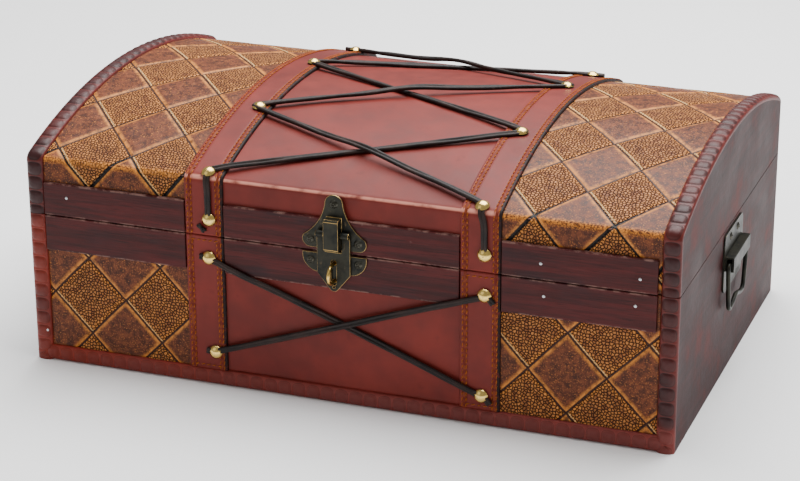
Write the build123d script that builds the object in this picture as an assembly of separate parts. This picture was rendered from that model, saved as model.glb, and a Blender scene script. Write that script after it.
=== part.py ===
from build123d import *
import math
import os

# Wooden box, in millimetres. X runs along the front, Y to the back, Z up.
box_length = 445.0
box_depth = 280.0
seam_height = 105.5
seam_gap = 0.6
lid_side_height = 38.2
dome_rise = 25.7
end_board = 9.0
side_board = 9.0
top_board = 6.0
floor_board = 6.0
lining_thick = 1.0

# Leather, bands and straps on the boards
leather_thick = 1.0
band_thick = 2.5
band_height = 24.5
lid_band_height = 22.4
band_gap_left = 0.3
band_gap_right = 2.1
strap_thick = 2.0
strap_width = 27.0
strap_centre = 94.4
strap_gap = 0.4

# Beaded trim along the ends and the foot
trim_width = 12.0
foot_trim_height = 11.0
trim_strip = 3.2
bead_rise = 1.2
bead_inset = 1.8
bead_pitch = 10.0
bead_cut = 1.5

# Dome-head nails, each on a strap, with the lace under its head
nail_head_radius = 4.75
nail_head_rise = 2.8
nail_shank_radius = 1.0
nail_length = 8.0
nail_seat = 1.2
nail_turn_out = 4.5
nail_rises_low = {"low_left": (-88.5, 24.1), "low_right": (95.8, 20.9)}
nail_drops_high = {"high_left": (-91.4, 14.9), "high_right": (97.5, 15.1)}
nail_rises_lid = {"left_0": (-90.7, 11.4), "right_0": (97.3, 11.6)}
dome_nails = {
    "left_1": (-91.7, -139.4),
    "left_2": (-88.8, -61.5),
    "left_3": (-86.5, 31.0),
    "left_4": (-88.0, 116.0),
    "right_1": (94.2, -139.4),
    "right_2": (93.0, -55.7),
    "right_3": (94.9, 41.4),
    "right_4": (92.0, 116.0),
}

# Laces
lace_radius = 1.7
lace_rub = 0.06
lace_over = 0.3
lace_tail = 8.0
lace_turn_step = 2.2
lace_widest_bend = 60.0
lace_edge_margin = 1.5
lace_shoulder_lift = 0.9

# Screws
screw_head_radius = 2.8
screw_head_rise = 1.3
screw_shank_radius = 1.2
screw_length = 9.0

# Hasp
hasp_x = -3.0
plate_thick = 1.2
hasp_plate_rise = 2.5
hasp_top_drop = 4.9
hasp_top_radius = 6.2
hasp_lobe_x = 16.3
hasp_lobe_rise = 8.1
hasp_lobe_radius = 5.6
hasp_waist = 11.0
catch_top_gap = 0.3
catch_half_width = 21.8
catch_screw_drop = 5.2
catch_lobe_drop = 13.2
catch_lobe_half = 12.0
catch_tongue_half = 6.0
catch_tongue_drop = 21.7
pin_rise = 13.4
pin_radius = 1.1
pin_play = 0.08
knuckle_radius = 2.3
hasp_play = 0.3
flap_thick = 1.3
flap_half_width = 11.3
flap_shoulder_drop = 13.5
flap_tip_drop = 25.3
flap_tip_radius = 2.4
flap_hole_radius = 0.8
flap_hole_rise = 3.0
bridge_half_width = 5.05
bridge_rise = 2.8
bridge_height = 21.5
bridge_proud = 6.5
bridge_corner = 1.2
window_side_play = 0.5
window_swing_play = 0.6
staple_wire = 1.2
staple_drop = 12.3
staple_half_height = 7.2
staple_reach = 12.0
staple_root = 3.0
slot_play = 0.6

# Butt hinges with stop tails
hinge_x = 150.0
leaf_width = 32.0
leaf_height = 19.0
leaf_thick = 1.2
barrel_radius = 2.4
barrel_clear = 0.1
hinge_pin_radius = 1.2
hinge_play = 0.05
knuckle_gap = 0.3
knuckle_count = 3
leaf_clear = 0.4
leaf_screws = 3
tail_reach = 5.0
tail_root = 0.2
open_angle = 100.0
stop_slack = 0.5

# End handles
handle_half_width = 26.0
handle_drop = 2.5
handle_height = 41.0
handle_corner = 5.0
handle_screw_y = 10.0
handle_screw_drop = 7.5
tube_half_length = 24.0
tube_drop = 17.5
tube_height = 10.0
tube_proud = 6.0
tube_wall = 1.2
bail_wire = 1.5
bail_top_half = 27.5
bail_pivot_engage = 10.0
bail_corner_half = 21.5
bail_corner_drop = 56.0
bail_kink_half = 10.5
bail_kink_drop = 54.9
bail_middle_drop = 51.5
bail_corner_radius = 5.0
bail_kink_radius = 9.0
bail_pivot_radius = 2.6

# Sizes worked out from those above
half_length = box_length / 2
half_depth = box_depth / 2
lid_low = seam_height + seam_gap
shoulder_height = lid_low + lid_side_height
crown_height = shoulder_height + dome_rise
inner_x = half_length - end_board
inner_y = half_depth - side_board
dome_radius = (half_depth**2 + dome_rise**2) / (2 * dome_rise)
dome_centre = crown_height - dome_radius
trim_x = half_length - trim_width
band_off = leather_thick + band_thick
strap_off = leather_thick + strap_thick
trim_off = trim_strip + bead_rise
strap_inner = strap_centre - strap_width / 2
strap_outer = strap_centre + strap_width / 2
band_low = seam_height - band_height
lid_band_top = lid_low + lid_band_height
front_nails = nail_rises_low | {name: (x, seam_height - drop) for name, (x, drop) in nail_drops_high.items()}
lid_front_nails = {name: (x, lid_low + rise) for name, (x, rise) in nail_rises_lid.items()}
hasp_plate_low = lid_low + hasp_plate_rise
hasp_top_screw = shoulder_height - hasp_top_drop
hasp_lobe_z = lid_low + hasp_lobe_rise
catch_tongue_low = seam_height - catch_tongue_drop
pin_height = lid_low + pin_rise
flap_shoulder = seam_height - flap_shoulder_drop
flap_tip = seam_height - flap_tip_drop
bridge_low = lid_low + bridge_rise
bridge_high = bridge_low + bridge_height
staple_middle = seam_height - staple_drop
plate_off = band_off + plate_thick
pin_off = plate_off + hasp_play + knuckle_radius
flap_off = plate_off + hasp_play
hinge_off = band_off + barrel_clear + barrel_radius
hinge_y = half_depth + hinge_off
hinge_z = seam_height + seam_gap / 2
handle_high = seam_height - handle_drop
handle_low = handle_high - handle_height
handle_screw_z = seam_height - handle_screw_drop
tube_high = seam_height - tube_drop
tube_low = tube_high - tube_height
bail_corner_z = seam_height - bail_corner_drop
bail_kink_z = seam_height - bail_kink_drop
bail_middle_z = seam_height - bail_middle_drop
tube_x = half_length + plate_thick
bail_x = tube_x + tube_proud / 2
bail_z = (tube_low + tube_high) / 2
lift_strap = strap_off + lace_radius + lace_rub
lift_panel = leather_thick + lace_radius + lace_rub
lift_band = band_off + lace_radius + lace_rub
lift_over = lift_panel + 2 * lace_radius + lace_over


# Height of the dome, off the boards' outside by a given distance
def dome_z(y, off):
    return dome_centre + math.sqrt((dome_radius + off) ** 2 - y**2)


# A box from its two corners
def block(x0, x1, y0, y1, z0, z1):
    size = Box(abs(x1 - x0), abs(y1 - y0), abs(z1 - z0))
    return Pos((x0 + x1) / 2, (y0 + y1) / 2, (z0 + z1) / 2) * size


# Upright end view of the lid, off the boards by a given distance
def lid_outline(off, low, radius_off=None, half=None):
    reach = half_depth + off if half is None else half
    rise = off if radius_off is None else radius_off
    shoulder = dome_z(reach, rise)
    crown = dome_centre + dome_radius + rise
    edges = [
        Line((reach, low), (reach, shoulder)),
        ThreePointArc((reach, shoulder), (0, crown), (-reach, shoulder)),
        Line((-reach, shoulder), (-reach, low)),
        Line((-reach, low), (reach, low)),
    ]
    return make_face(edges)


# A layer that follows the lid's front, top and back between two lengths
def lid_shell(inner, outer, x0, x1):
    ring = lid_outline(outer, lid_low) - lid_outline(inner, lid_low)
    return extrude(Plane.YZ.offset(x0) * ring, amount=x1 - x0)


# A flat layer on the front of the box, or on its back
def side_layer(inner, outer, x0, x1, z0, z1, back=False):
    near = half_depth + inner
    far = half_depth + outer
    if back:
        return block(x0, x1, near, far, z0, z1)
    return block(x0, x1, -far, -near, z0, z1)


# A turned fastener that stands on its seat, with its head up and its shank down
def fastener(head_radius, head_rise, shank_radius, length):
    ball = (head_radius**2 + head_rise**2) / (2 * head_rise)
    turn = math.asin(head_radius / ball) / 2
    edges = [
        Line((0, -length), (shank_radius, -length)),
        Line((shank_radius, -length), (shank_radius, 0)),
        Line((shank_radius, 0), (head_radius, 0)),
        ThreePointArc(
            (head_radius, 0),
            (ball * math.sin(turn), head_rise - ball + ball * math.cos(turn)),
            (0, head_rise),
        ),
        Line((0, head_rise), (0, -length)),
    ]
    return revolve(Plane.XZ * make_face(edges), Axis.Z)


nail_shape = fastener(nail_head_radius, nail_head_rise, nail_shank_radius, nail_length)
screw_shape = fastener(screw_head_radius, screw_head_rise, screw_shank_radius, screw_length)


# Places a fastener on the front, the back, the dome or an end
def on_front(shape, x, z, off):
    return Plane((x, -(half_depth + off), z), x_dir=(1, 0, 0), z_dir=(0, -1, 0)) * shape


def on_back(shape, x, z, off):
    return Plane((x, half_depth + off, z), x_dir=(1, 0, 0), z_dir=(0, 1, 0)) * shape


def on_dome(shape, x, y, off):
    lean = (0, y, dome_z(y, off) - dome_centre)
    return Plane((x, y, dome_z(y, off)), x_dir=(1, 0, 0), z_dir=lean) * shape


def on_end(shape, side, y, z, off):
    spot = (side * (half_length + off), y, z)
    return Plane(spot, x_dir=(0, 1, 0), z_dir=(side, 0, 0)) * shape


# Every solid of a list as one group
def group(shapes):
    solids = []
    for shape in shapes:
        solids.extend(shape.solids())
    return Compound(children=solids)


# Cuts a list of cutters from a part, one call for all
def drilled(shape, cutters):
    return shape - cutters


# Beaded trim: a strip with a row of pads on it, cut apart at the bead pitch
def foot_trim(side_sign):
    low_half = half_length
    top_half = half_length - trim_width
    strip_face = make_face(
        Polyline(
            (-low_half, 0), (low_half, 0), (top_half, foot_trim_height), (-top_half, foot_trim_height), close=True
        )
    )
    slant = trim_width / foot_trim_height
    pad_face = make_face(
        Polyline(
            (-low_half + bead_inset * (1 + slant), bead_inset),
            (low_half - bead_inset * (1 + slant), bead_inset),
            (top_half - bead_inset, foot_trim_height - bead_inset),
            (-top_half + bead_inset, foot_trim_height - bead_inset),
            close=True,
        )
    )
    face_plane = Plane((0, side_sign * half_depth, 0), x_dir=(1, 0, 0), z_dir=(0, -1, 0))
    strip = extrude(face_plane * strip_face, amount=-side_sign * trim_strip)
    pads = extrude(face_plane * pad_face, amount=-side_sign * trim_off)
    count = int(box_length / bead_pitch)
    cuts = []
    for number in range(count + 1):
        x = (number - count / 2) * bead_pitch
        cut = Box(bead_cut, 4 * bead_rise, foot_trim_height)
        cuts.append(Pos(x, side_sign * (half_depth + trim_strip + 2 * bead_rise), foot_trim_height / 2) * cut)
    return strip + (pads - cuts)


# Upright trim on a front or back corner of the base, mitred to the foot trim
def corner_trim(end_sign, side_sign):
    outer = end_sign * half_length
    inner = end_sign * trim_x
    strip_face = make_face(
        Polyline((outer, 0), (outer, seam_height), (inner, seam_height), (inner, foot_trim_height), close=True)
    )
    pad_outer = outer - end_sign * bead_inset
    pad_inner = inner + end_sign * bead_inset
    slant = foot_trim_height / trim_width
    pad_face = make_face(
        Polyline(
            (pad_outer, bead_inset * (1 + slant)),
            (pad_outer, seam_height),
            (pad_inner, seam_height),
            (pad_inner, foot_trim_height + bead_inset * (1 - slant)),
            close=True,
        )
    )
    face_plane = Plane((0, side_sign * half_depth, 0), x_dir=(1, 0, 0), z_dir=(0, -1, 0))
    strip = extrude(face_plane * strip_face, amount=-side_sign * trim_strip)
    pads = extrude(face_plane * pad_face, amount=-side_sign * trim_off)
    cuts = []
    for number in range(1, int(seam_height / bead_pitch) + 1):
        cut = Box(trim_width, 4 * bead_rise, bead_cut)
        z = seam_height - number * bead_pitch
        y = side_sign * (half_depth + trim_strip + 2 * bead_rise)
        cuts.append(Pos((outer + inner) / 2, y, z) * cut)
    return strip + (pads - cuts)


# Trim over the lid's end, up the front, over the dome and down the back
def lid_trim(end_sign):
    x0 = min(end_sign * trim_x, end_sign * half_length)
    strip = lid_shell(0, trim_strip, x0, x0 + trim_width)
    pads = lid_shell(0, trim_off, x0 + bead_inset, x0 + trim_width - bead_inset)
    reach = dome_radius + trim_strip + 2 * bead_rise
    sweep = math.degrees(math.asin(half_depth / dome_radius))
    step = math.degrees(bead_pitch / dome_radius)
    cuts = []
    for number in range(-int(sweep / step), int(sweep / step) + 1):
        cut = Pos(x0 + trim_width / 2, 0, reach) * Box(trim_width, bead_cut, 4 * bead_rise)
        cuts.append(Pos(0, 0, dome_centre) * Rot(number * step, 0, 0) * cut)
    for side_sign in (-1, 1):
        for number in range(1, int((shoulder_height - lid_low) / bead_pitch) + 1):
            z = lid_low + number * bead_pitch
            y = side_sign * (half_depth + trim_strip + 2 * bead_rise)
            cuts.append(Pos(x0 + trim_width / 2, y, z) * Box(trim_width, 4 * bead_rise, bead_cut))
    return strip + (pads - cuts)


# Nails and screws, placed
base_nails = [on_front(nail_shape, x, z, strap_off + nail_seat) for x, z in front_nails.values()]
lid_nails = [on_front(nail_shape, x, z, strap_off + nail_seat) for x, z in lid_front_nails.values()]
lid_nails += [on_dome(nail_shape, x, y, strap_off + nail_seat) for x, y in dome_nails.values()]

catch_screw_z = seam_height - catch_top_gap - catch_screw_drop
catch_screws = [on_front(screw_shape, hasp_x + s * hasp_lobe_x, catch_screw_z, plate_off) for s in (-1, 1)]
hasp_screws = [on_front(screw_shape, hasp_x + s * hasp_lobe_x, hasp_lobe_z, plate_off) for s in (-1, 1)]
hasp_screws.append(on_front(screw_shape, hasp_x, hasp_top_screw, plate_off))


def leaf_screw_row(centre_x, z):
    step = leaf_width / leaf_screws
    row = []
    for number in range(leaf_screws):
        x = centre_x + (number - (leaf_screws - 1) / 2) * step
        row.append(on_back(screw_shape, x, z, band_off + leaf_thick))
    return row


leaf_near = barrel_radius + leaf_clear
leaf_screw_rise = leaf_near + (leaf_height - leaf_near) / 2
lower_leaf_screws = []
upper_leaf_screws = []
for sign in (-1, 1):
    lower_leaf_screws += leaf_screw_row(sign * hinge_x, hinge_z - leaf_screw_rise)
    upper_leaf_screws += leaf_screw_row(sign * hinge_x, hinge_z + leaf_screw_rise)

handle_screws = []
for sign in (-1, 1):
    for y in (-handle_screw_y, handle_screw_y):
        handle_screws.append(on_end(screw_shape, sign, y, handle_screw_z, plate_thick))


# Staple: a half ring on two legs that go through the catch plate into the board
def make_staple():
    root = -(half_depth - staple_root)
    arc_radius = staple_half_height - staple_wire
    bend = -(half_depth + plate_off + staple_reach - staple_half_height)
    top = staple_middle + arc_radius
    low = staple_middle - arc_radius
    path = Wire(
        [
            Edge.make_line((hasp_x, root, top), (hasp_x, bend, top)),
            Edge.make_three_point_arc(
                (hasp_x, bend, top), (hasp_x, bend - arc_radius, staple_middle), (hasp_x, bend, low)
            ),
            Edge.make_line((hasp_x, bend, low), (hasp_x, root, low)),
        ]
    )
    start = Plane((hasp_x, root, top), z_dir=(0, -1, 0))
    return sweep(start * Circle(staple_wire), path=path)


staple = make_staple()


# Wooden boards of the base
def base_boards():
    end = block(inner_x, half_length, -half_depth, half_depth, 0, seam_height)
    front = block(-inner_x, inner_x, -half_depth, -inner_y, 0, seam_height)
    base = {
        "base_left_end": drilled(mirror(end, Plane.YZ), handle_screws),
        "base_right_end": drilled(end, handle_screws),
        "base_front_board": drilled(front, base_nails + catch_screws + [staple]),
        "base_back_board": drilled(mirror(front, Plane.XZ), lower_leaf_screws),
        "base_floor": block(-inner_x, inner_x, -inner_y, inner_y, 0, floor_board),
    }
    outer = block(-inner_x, inner_x, -inner_y, inner_y, floor_board, seam_height)
    hollow = block(
        -inner_x + lining_thick,
        inner_x - lining_thick,
        -inner_y + lining_thick,
        inner_y - lining_thick,
        floor_board + lining_thick,
        seam_height,
    )
    base["base_lining"] = outer - hollow
    return base


# Leather, bands, straps and trim of the base
def base_covering():
    nodes = {}
    holes = base_nails + catch_screws + [staple]
    sheets = {
        "base_leather_left": (-trim_x, -strap_centre),
        "base_panel": (-strap_centre, strap_centre),
        "base_leather_right": (strap_centre, trim_x),
    }
    for name, (x0, x1) in sheets.items():
        sheet = side_layer(0, leather_thick, x0, x1, foot_trim_height, seam_height)
        nodes[name] = drilled(sheet, holes)
    back = side_layer(0, leather_thick, -trim_x, trim_x, foot_trim_height, seam_height, back=True)
    nodes["base_leather_back"] = drilled(back, lower_leaf_screws)
    bands = band_spans()
    for name, (x0, x1) in bands.items():
        band = side_layer(leather_thick, band_off, x0, x1, band_low, seam_height)
        nodes["base_band_" + name] = drilled(band, holes)
    back_bands = []
    for x0, x1 in bands.values():
        back_bands.append(side_layer(leather_thick, band_off, x0, x1, band_low, seam_height, back=True))
    nodes["base_bands_back"] = drilled(group(back_bands), lower_leaf_screws)
    for name, sign in (("left", -1), ("right", 1)):
        x0 = sign * strap_centre - strap_width / 2
        strap = side_layer(leather_thick, strap_off, x0, x0 + strap_width, foot_trim_height, seam_height)
        nodes["base_strap_" + name] = drilled(strap, base_nails)
        nodes["base_trim_" + name] = corner_trim(sign, -1)
    nodes["base_straps_back"] = group([mirror(nodes_strap_plain(sign), Plane.XZ) for sign in (-1, 1)])
    nodes["base_trim_foot"] = foot_trim(-1)
    nodes["base_trims_back"] = group([corner_trim(-1, 1), corner_trim(1, 1), foot_trim(1)])
    return nodes


# A base strap with no holes
def nodes_strap_plain(sign):
    x0 = sign * strap_centre - strap_width / 2
    return side_layer(leather_thick, strap_off, x0, x0 + strap_width, foot_trim_height, seam_height)


# Where the bands run between the trims and the straps
def band_spans():
    return {
        "left": (-trim_x + band_gap_left, -strap_outer - strap_gap),
        "centre": (-strap_inner + strap_gap, strap_inner - strap_gap),
        "right": (strap_outer + strap_gap, trim_x - band_gap_right),
    }


# Wooden boards of the lid
def lid_boards():
    end = extrude(Plane.YZ.offset(inner_x) * lid_outline(0, lid_low), amount=end_board)
    full = lid_outline(0, lid_low)
    between = lid_outline(0, lid_low, radius_off=0, half=inner_y)
    under = lid_outline(0, lid_low, radius_off=-top_board, half=inner_y)
    top = extrude(Plane.YZ.offset(-inner_x) * (between - under), amount=2 * inner_x)
    rails = extrude(Plane.YZ.offset(-inner_x) * (full - between), amount=2 * inner_x)
    front_rail, back_rail = sorted(rails.solids(), key=lambda rail: rail.center().Y)
    hollow = lid_outline(0, lid_low, radius_off=-top_board - lining_thick, half=inner_y - lining_thick)
    outer = extrude(Plane.YZ.offset(-inner_x) * under, amount=2 * inner_x)
    inner = extrude(Plane.YZ.offset(-inner_x + lining_thick) * hollow, amount=2 * (inner_x - lining_thick))
    return {
        "lid_left_end": mirror(end, Plane.YZ),
        "lid_right_end": end,
        "lid_front_rail": drilled(front_rail, lid_nails + hasp_screws),
        "lid_back_rail": drilled(back_rail, upper_leaf_screws),
        "lid_top_board": drilled(top, lid_nails),
        "lid_lining": outer - inner,
    }


# Leather, bands, straps and trim of the lid
def lid_covering():
    nodes = {}
    holes = lid_nails + hasp_screws + upper_leaf_screws
    sheets = {
        "lid_leather_left": (-trim_x, -strap_centre),
        "lid_panel": (-strap_centre, strap_centre),
        "lid_leather_right": (strap_centre, trim_x),
    }
    for name, (x0, x1) in sheets.items():
        nodes[name] = drilled(lid_shell(0, leather_thick, x0, x1), holes)
    bands = band_spans()
    for name, (x0, x1) in bands.items():
        band = side_layer(leather_thick, band_off, x0, x1, lid_low, lid_band_top)
        nodes["lid_band_" + name] = drilled(band, hasp_screws)
    back_bands = []
    for x0, x1 in bands.values():
        back_bands.append(side_layer(leather_thick, band_off, x0, x1, lid_low, lid_band_top, back=True))
    nodes["lid_bands_back"] = drilled(group(back_bands), upper_leaf_screws)
    for name, sign in (("left", -1), ("right", 1)):
        x0 = sign * strap_centre - strap_width / 2
        nodes["lid_strap_" + name] = drilled(lid_shell(leather_thick, strap_off, x0, x0 + strap_width), lid_nails)
        nodes["lid_trim_" + name] = lid_trim(sign)
    return nodes


# Points of a lace, on the front or on the dome, with its centre off the boards
def front_point(x, z, off):
    return Vector(x, -(half_depth + off), z)


def dome_point(x, y, off):
    return Vector(x, y, dome_z(y, off))


# A lace along its points, with each bend as wide as its two runs allow
def lace(points):
    radii = []
    for before, here, after in zip(points, points[1:], points[2:]):
        first = here - before
        second = after - here
        turn = math.radians(first.get_angle(second))
        run = min(first.length, second.length)
        radii.append(min(0.45 * run / math.tan(turn / 2), lace_widest_bend))
    path = FilletPolyline(*points, radius=radii)
    start = Plane(points[0], z_dir=points[1] - points[0])
    print("lace", round(path.length, 1), "mm long, bends from", round(min(radii), 1), "mm")
    return sweep(start * Circle(lace_radius), path=path)


# Where a straight line between two places on the plan has a given x
def along(start, end, x):
    share = (x - start[0]) / (end[0] - start[0])
    return start[1] + share * (end[1] - start[1])


# Where two lines on the plan cross
def crossing(a0, a1, b0, b1):
    slope_a = (a1[1] - a0[1]) / (a1[0] - a0[0])
    slope_b = (b1[1] - b0[1]) / (b1[0] - b0[0])
    x = (b0[1] - a0[1] + slope_a * a0[0] - slope_b * b0[0]) / (slope_a - slope_b)
    return x, along(a0, a1, x)


# A lace from nail to nail over the dome, round the outside of each nail it turns at
def dome_lace(front_nail, stops, crossed_by, over):
    side = -1 if front_nail[0] < 0 else 1
    shoulder_lift = lift_strap + lace_shoulder_lift
    shoulder_z = dome_z(half_depth + shoulder_lift, shoulder_lift)
    points = [
        front_point(front_nail[0] + side * lace_tail * 0.8, front_nail[1] - lace_tail * 0.6, lift_strap),
        front_point(front_nail[0], front_nail[1], lift_strap),
        front_point(front_nail[0], shoulder_z, shoulder_lift),
        dome_point(stops[0][0], stops[0][1], lift_strap),
    ]
    for number in range(len(stops) - 1):
        here = stops[number]
        there = stops[number + 1]
        sign = -1 if here[0] < 0 else 1
        edge = strap_inner - lace_edge_margin
        cross_x, cross_y = crossing(here, there, crossed_by[number], crossed_by[number + 1])
        points.append(dome_point(sign * edge, along(here, there, sign * edge), lift_strap))
        if over:
            spread = 2 * lace_radius
            for shift in (spread, -spread):
                x = cross_x + sign * shift
                points.append(dome_point(x, along(here, there, x), lift_over))
        else:
            points.append(dome_point(cross_x, cross_y, lift_panel))
        points.append(dome_point(-sign * edge, along(here, there, -sign * edge), lift_strap))
        if number < len(stops) - 2:
            out = there[0] - sign * nail_turn_out
            points.append(dome_point(out, there[1] - lace_turn_step, lift_strap))
            points.append(dome_point(out, there[1] + lace_turn_step, lift_strap))
        else:
            points.append(dome_point(there[0], there[1], lift_strap))
            points.append(dome_point(there[0] - sign * lace_tail, there[1] + lace_tail * 0.3, lift_strap))
    return lace(points)


# A lace across the front of the base, from a left nail to a right nail
def front_lace(left, right, cross_left, cross_right, over):
    edge = strap_inner - lace_edge_margin
    high_left = left[1] > right[1]
    slope = (right[1] - left[1]) / (right[0] - left[0])
    clear_x = left[0] + (band_low - 2 * lace_radius - left[1]) / slope
    cross_x, cross_z = crossing(left, right, cross_left, cross_right)
    drop = -0.2 if high_left else -0.6
    start_lift = lift_band if high_left else lift_strap
    points = [front_point(left[0] - lace_tail, left[1] - lace_tail * drop, lift_strap), front_point(*left, start_lift)]
    if high_left:
        points.append(front_point(clear_x, along(left, right, clear_x), lift_band))
    else:
        points.append(front_point(-edge, along(left, right, -edge), lift_strap))
    if over:
        for shift in (-2 * lace_radius, 2 * lace_radius):
            points.append(front_point(cross_x + shift, along(left, right, cross_x + shift), lift_over))
    else:
        points.append(front_point(cross_x, cross_z, lift_panel))
    if high_left:
        points.append(front_point(edge, along(left, right, edge), lift_strap))
    else:
        points.append(front_point(clear_x, along(left, right, clear_x), lift_band))
    points.append(front_point(*right, lift_strap if high_left else lift_band))
    points.append(front_point(right[0] + lace_tail * 0.8, right[1] - lace_tail * 0.6, lift_strap))
    return lace(points)


def laces():
    left = [dome_nails["left_" + str(number)] for number in range(1, 5)]
    right = [dome_nails["right_" + str(number)] for number in range(1, 5)]
    path_a = [left[0], right[1], left[2], right[3]]
    path_b = [right[0], left[1], right[2], left[3]]
    lace_a = dome_lace(lid_front_nails["left_0"], path_a, path_b, over=False)
    lace_b = dome_lace(lid_front_nails["right_0"], path_b, path_a, over=True)
    down = (front_nails["high_left"], front_nails["low_right"])
    up = (front_nails["low_left"], front_nails["high_right"])
    return {
        "lid_lace_a": drilled(lace_a, lid_nails),
        "lid_lace_b": drilled(lace_b, lid_nails),
        "base_lace_a": drilled(front_lace(*down, *up, over=False), base_nails),
        "base_lace_b": drilled(front_lace(*up, *down, over=True), base_nails),
    }


# A flat outline drawn on the front, given as x and z, made into a plate
def front_plate(edges, off, thick):
    face_plane = Plane((hasp_x, -(half_depth + off), 0), x_dir=(1, 0, 0), z_dir=(0, -1, 0))
    return extrude(face_plane * make_face(edges), amount=thick)


# A round bar along X on the front
def front_bar(radius, half, off, z):
    bar = Rot(0, 90, 0) * Cylinder(radius, 2 * half)
    return Pos(hasp_x, -(half_depth + off), z) * bar


# Bell-shaped hasp plate with the bridge that holds the pin
def hasp_plate():
    lobe_out = hasp_lobe_x + hasp_lobe_radius
    shoulder = (hasp_top_radius, hasp_top_screw)
    lobe_top = (lobe_out - 1.0, hasp_lobe_z + hasp_lobe_radius / 2)
    waist = (hasp_waist, (hasp_top_screw + hasp_lobe_z) / 2)
    lobe_side = (lobe_out, hasp_lobe_z - 1.0)
    lobe_foot = (hasp_lobe_x, hasp_plate_low)
    edges = [
        Line((-lobe_foot[0], lobe_foot[1]), lobe_foot),
        ThreePointArc(lobe_foot, lobe_side, lobe_top),
        ThreePointArc(lobe_top, waist, shoulder),
        ThreePointArc(shoulder, (0, hasp_top_screw + hasp_top_radius), (-shoulder[0], shoulder[1])),
        ThreePointArc((-shoulder[0], shoulder[1]), (-waist[0], waist[1]), (-lobe_top[0], lobe_top[1])),
        ThreePointArc((-lobe_top[0], lobe_top[1]), (-lobe_side[0], lobe_side[1]), (-lobe_foot[0], lobe_foot[1])),
    ]
    plate = front_plate(edges, band_off, plate_thick)
    bridge = block(
        hasp_x - bridge_half_width,
        hasp_x + bridge_half_width,
        -(half_depth + plate_off + bridge_proud),
        -(half_depth + plate_off),
        bridge_low,
        bridge_high,
    )
    front_edges = bridge.faces().sort_by(Axis.Y)[0].edges()
    bridge = chamfer(front_edges.filter_by(Axis.X), bridge_corner)
    bore = front_bar(pin_radius, bridge_half_width, pin_off, pin_height)
    return drilled(plate + bridge, hasp_screws + [bore])


# Catch plate on the base, with a tongue that the staple's legs go through
def catch_plate():
    top = seam_height - catch_top_gap
    low = top - catch_lobe_drop
    side = (catch_half_width - 1.6, top - catch_lobe_drop * 0.62)
    edges = [
        Line((-catch_half_width, top), (catch_half_width, top)),
        ThreePointArc((catch_half_width, top), side, (catch_lobe_half, low)),
        Line((catch_lobe_half, low), (catch_tongue_half, low)),
        Line((catch_tongue_half, low), (catch_tongue_half, catch_tongue_low + catch_tongue_half / 2)),
        ThreePointArc(
            (catch_tongue_half, catch_tongue_low + catch_tongue_half / 2),
            (0, catch_tongue_low),
            (-catch_tongue_half, catch_tongue_low + catch_tongue_half / 2),
        ),
        Line((-catch_tongue_half, catch_tongue_low + catch_tongue_half / 2), (-catch_tongue_half, low)),
        Line((-catch_tongue_half, low), (-catch_lobe_half, low)),
        ThreePointArc((-catch_lobe_half, low), (-side[0], side[1]), (-catch_half_width, top)),
    ]
    return drilled(front_plate(edges, band_off, plate_thick), catch_screws + [staple])


# Swinging flap: two knuckles on the pin, a window round the bridge, a slot for the staple
def hasp_flap():
    tip_high = flap_tip + flap_tip_radius
    edges = [
        Line((-flap_half_width, pin_height), (flap_half_width, pin_height)),
        Line((flap_half_width, pin_height), (flap_half_width, flap_shoulder)),
        Line((flap_half_width, flap_shoulder), (flap_tip_radius, tip_high - 0.6 * flap_tip_radius)),
        ThreePointArc(
            (flap_tip_radius, tip_high - 0.6 * flap_tip_radius),
            (0, flap_tip),
            (-flap_tip_radius, tip_high - 0.6 * flap_tip_radius),
        ),
        Line((-flap_tip_radius, tip_high - 0.6 * flap_tip_radius), (-flap_half_width, flap_shoulder)),
        Line((-flap_half_width, flap_shoulder), (-flap_half_width, pin_height)),
    ]
    sheet = front_plate(edges, flap_off, flap_thick)
    barrel = front_bar(knuckle_radius, flap_half_width, pin_off, pin_height)
    bore = front_bar(pin_radius + pin_play, flap_half_width, pin_off, pin_height)
    bridge_front = plate_off + bridge_proud - pin_off
    swing = math.hypot(bridge_high - pin_height, bridge_front) + window_swing_play
    half = bridge_half_width + window_side_play
    near = -(half_depth + pin_off + 2 * knuckle_radius)
    window = block(hasp_x - half, hasp_x + half, near, -half_depth, pin_height - swing, bridge_high)
    slot_half = staple_wire + slot_play
    slot_low = staple_middle - staple_half_height - slot_play - slot_half / 2
    slot_high = staple_middle + staple_half_height + slot_play + slot_half / 2
    slot = Pos(hasp_x, -(half_depth + flap_off), (slot_low + slot_high) / 2) * extrude(
        Plane.XZ * SlotOverall(slot_high - slot_low, 2 * slot_half, rotation=90), amount=4 * flap_thick, both=True
    )
    hole = Pos(hasp_x, -(half_depth + flap_off), flap_tip + flap_hole_rise) * (
        Rot(90, 0, 0) * Cylinder(flap_hole_radius, 4 * flap_thick)
    )
    return sheet + barrel - [bore, window, slot, hole]


# Knuckle spans along one hinge: outer ones for the lower leaf, the middle for the upper
def knuckle_spans(centre_x, own):
    width = leaf_width / knuckle_count
    spans = []
    for number in range(knuckle_count):
        if (number % 2 == 0) == own:
            start = centre_x - leaf_width / 2 + number * width
            spans.append((start + knuckle_gap / 2, start + width - knuckle_gap / 2))
    return spans


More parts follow.
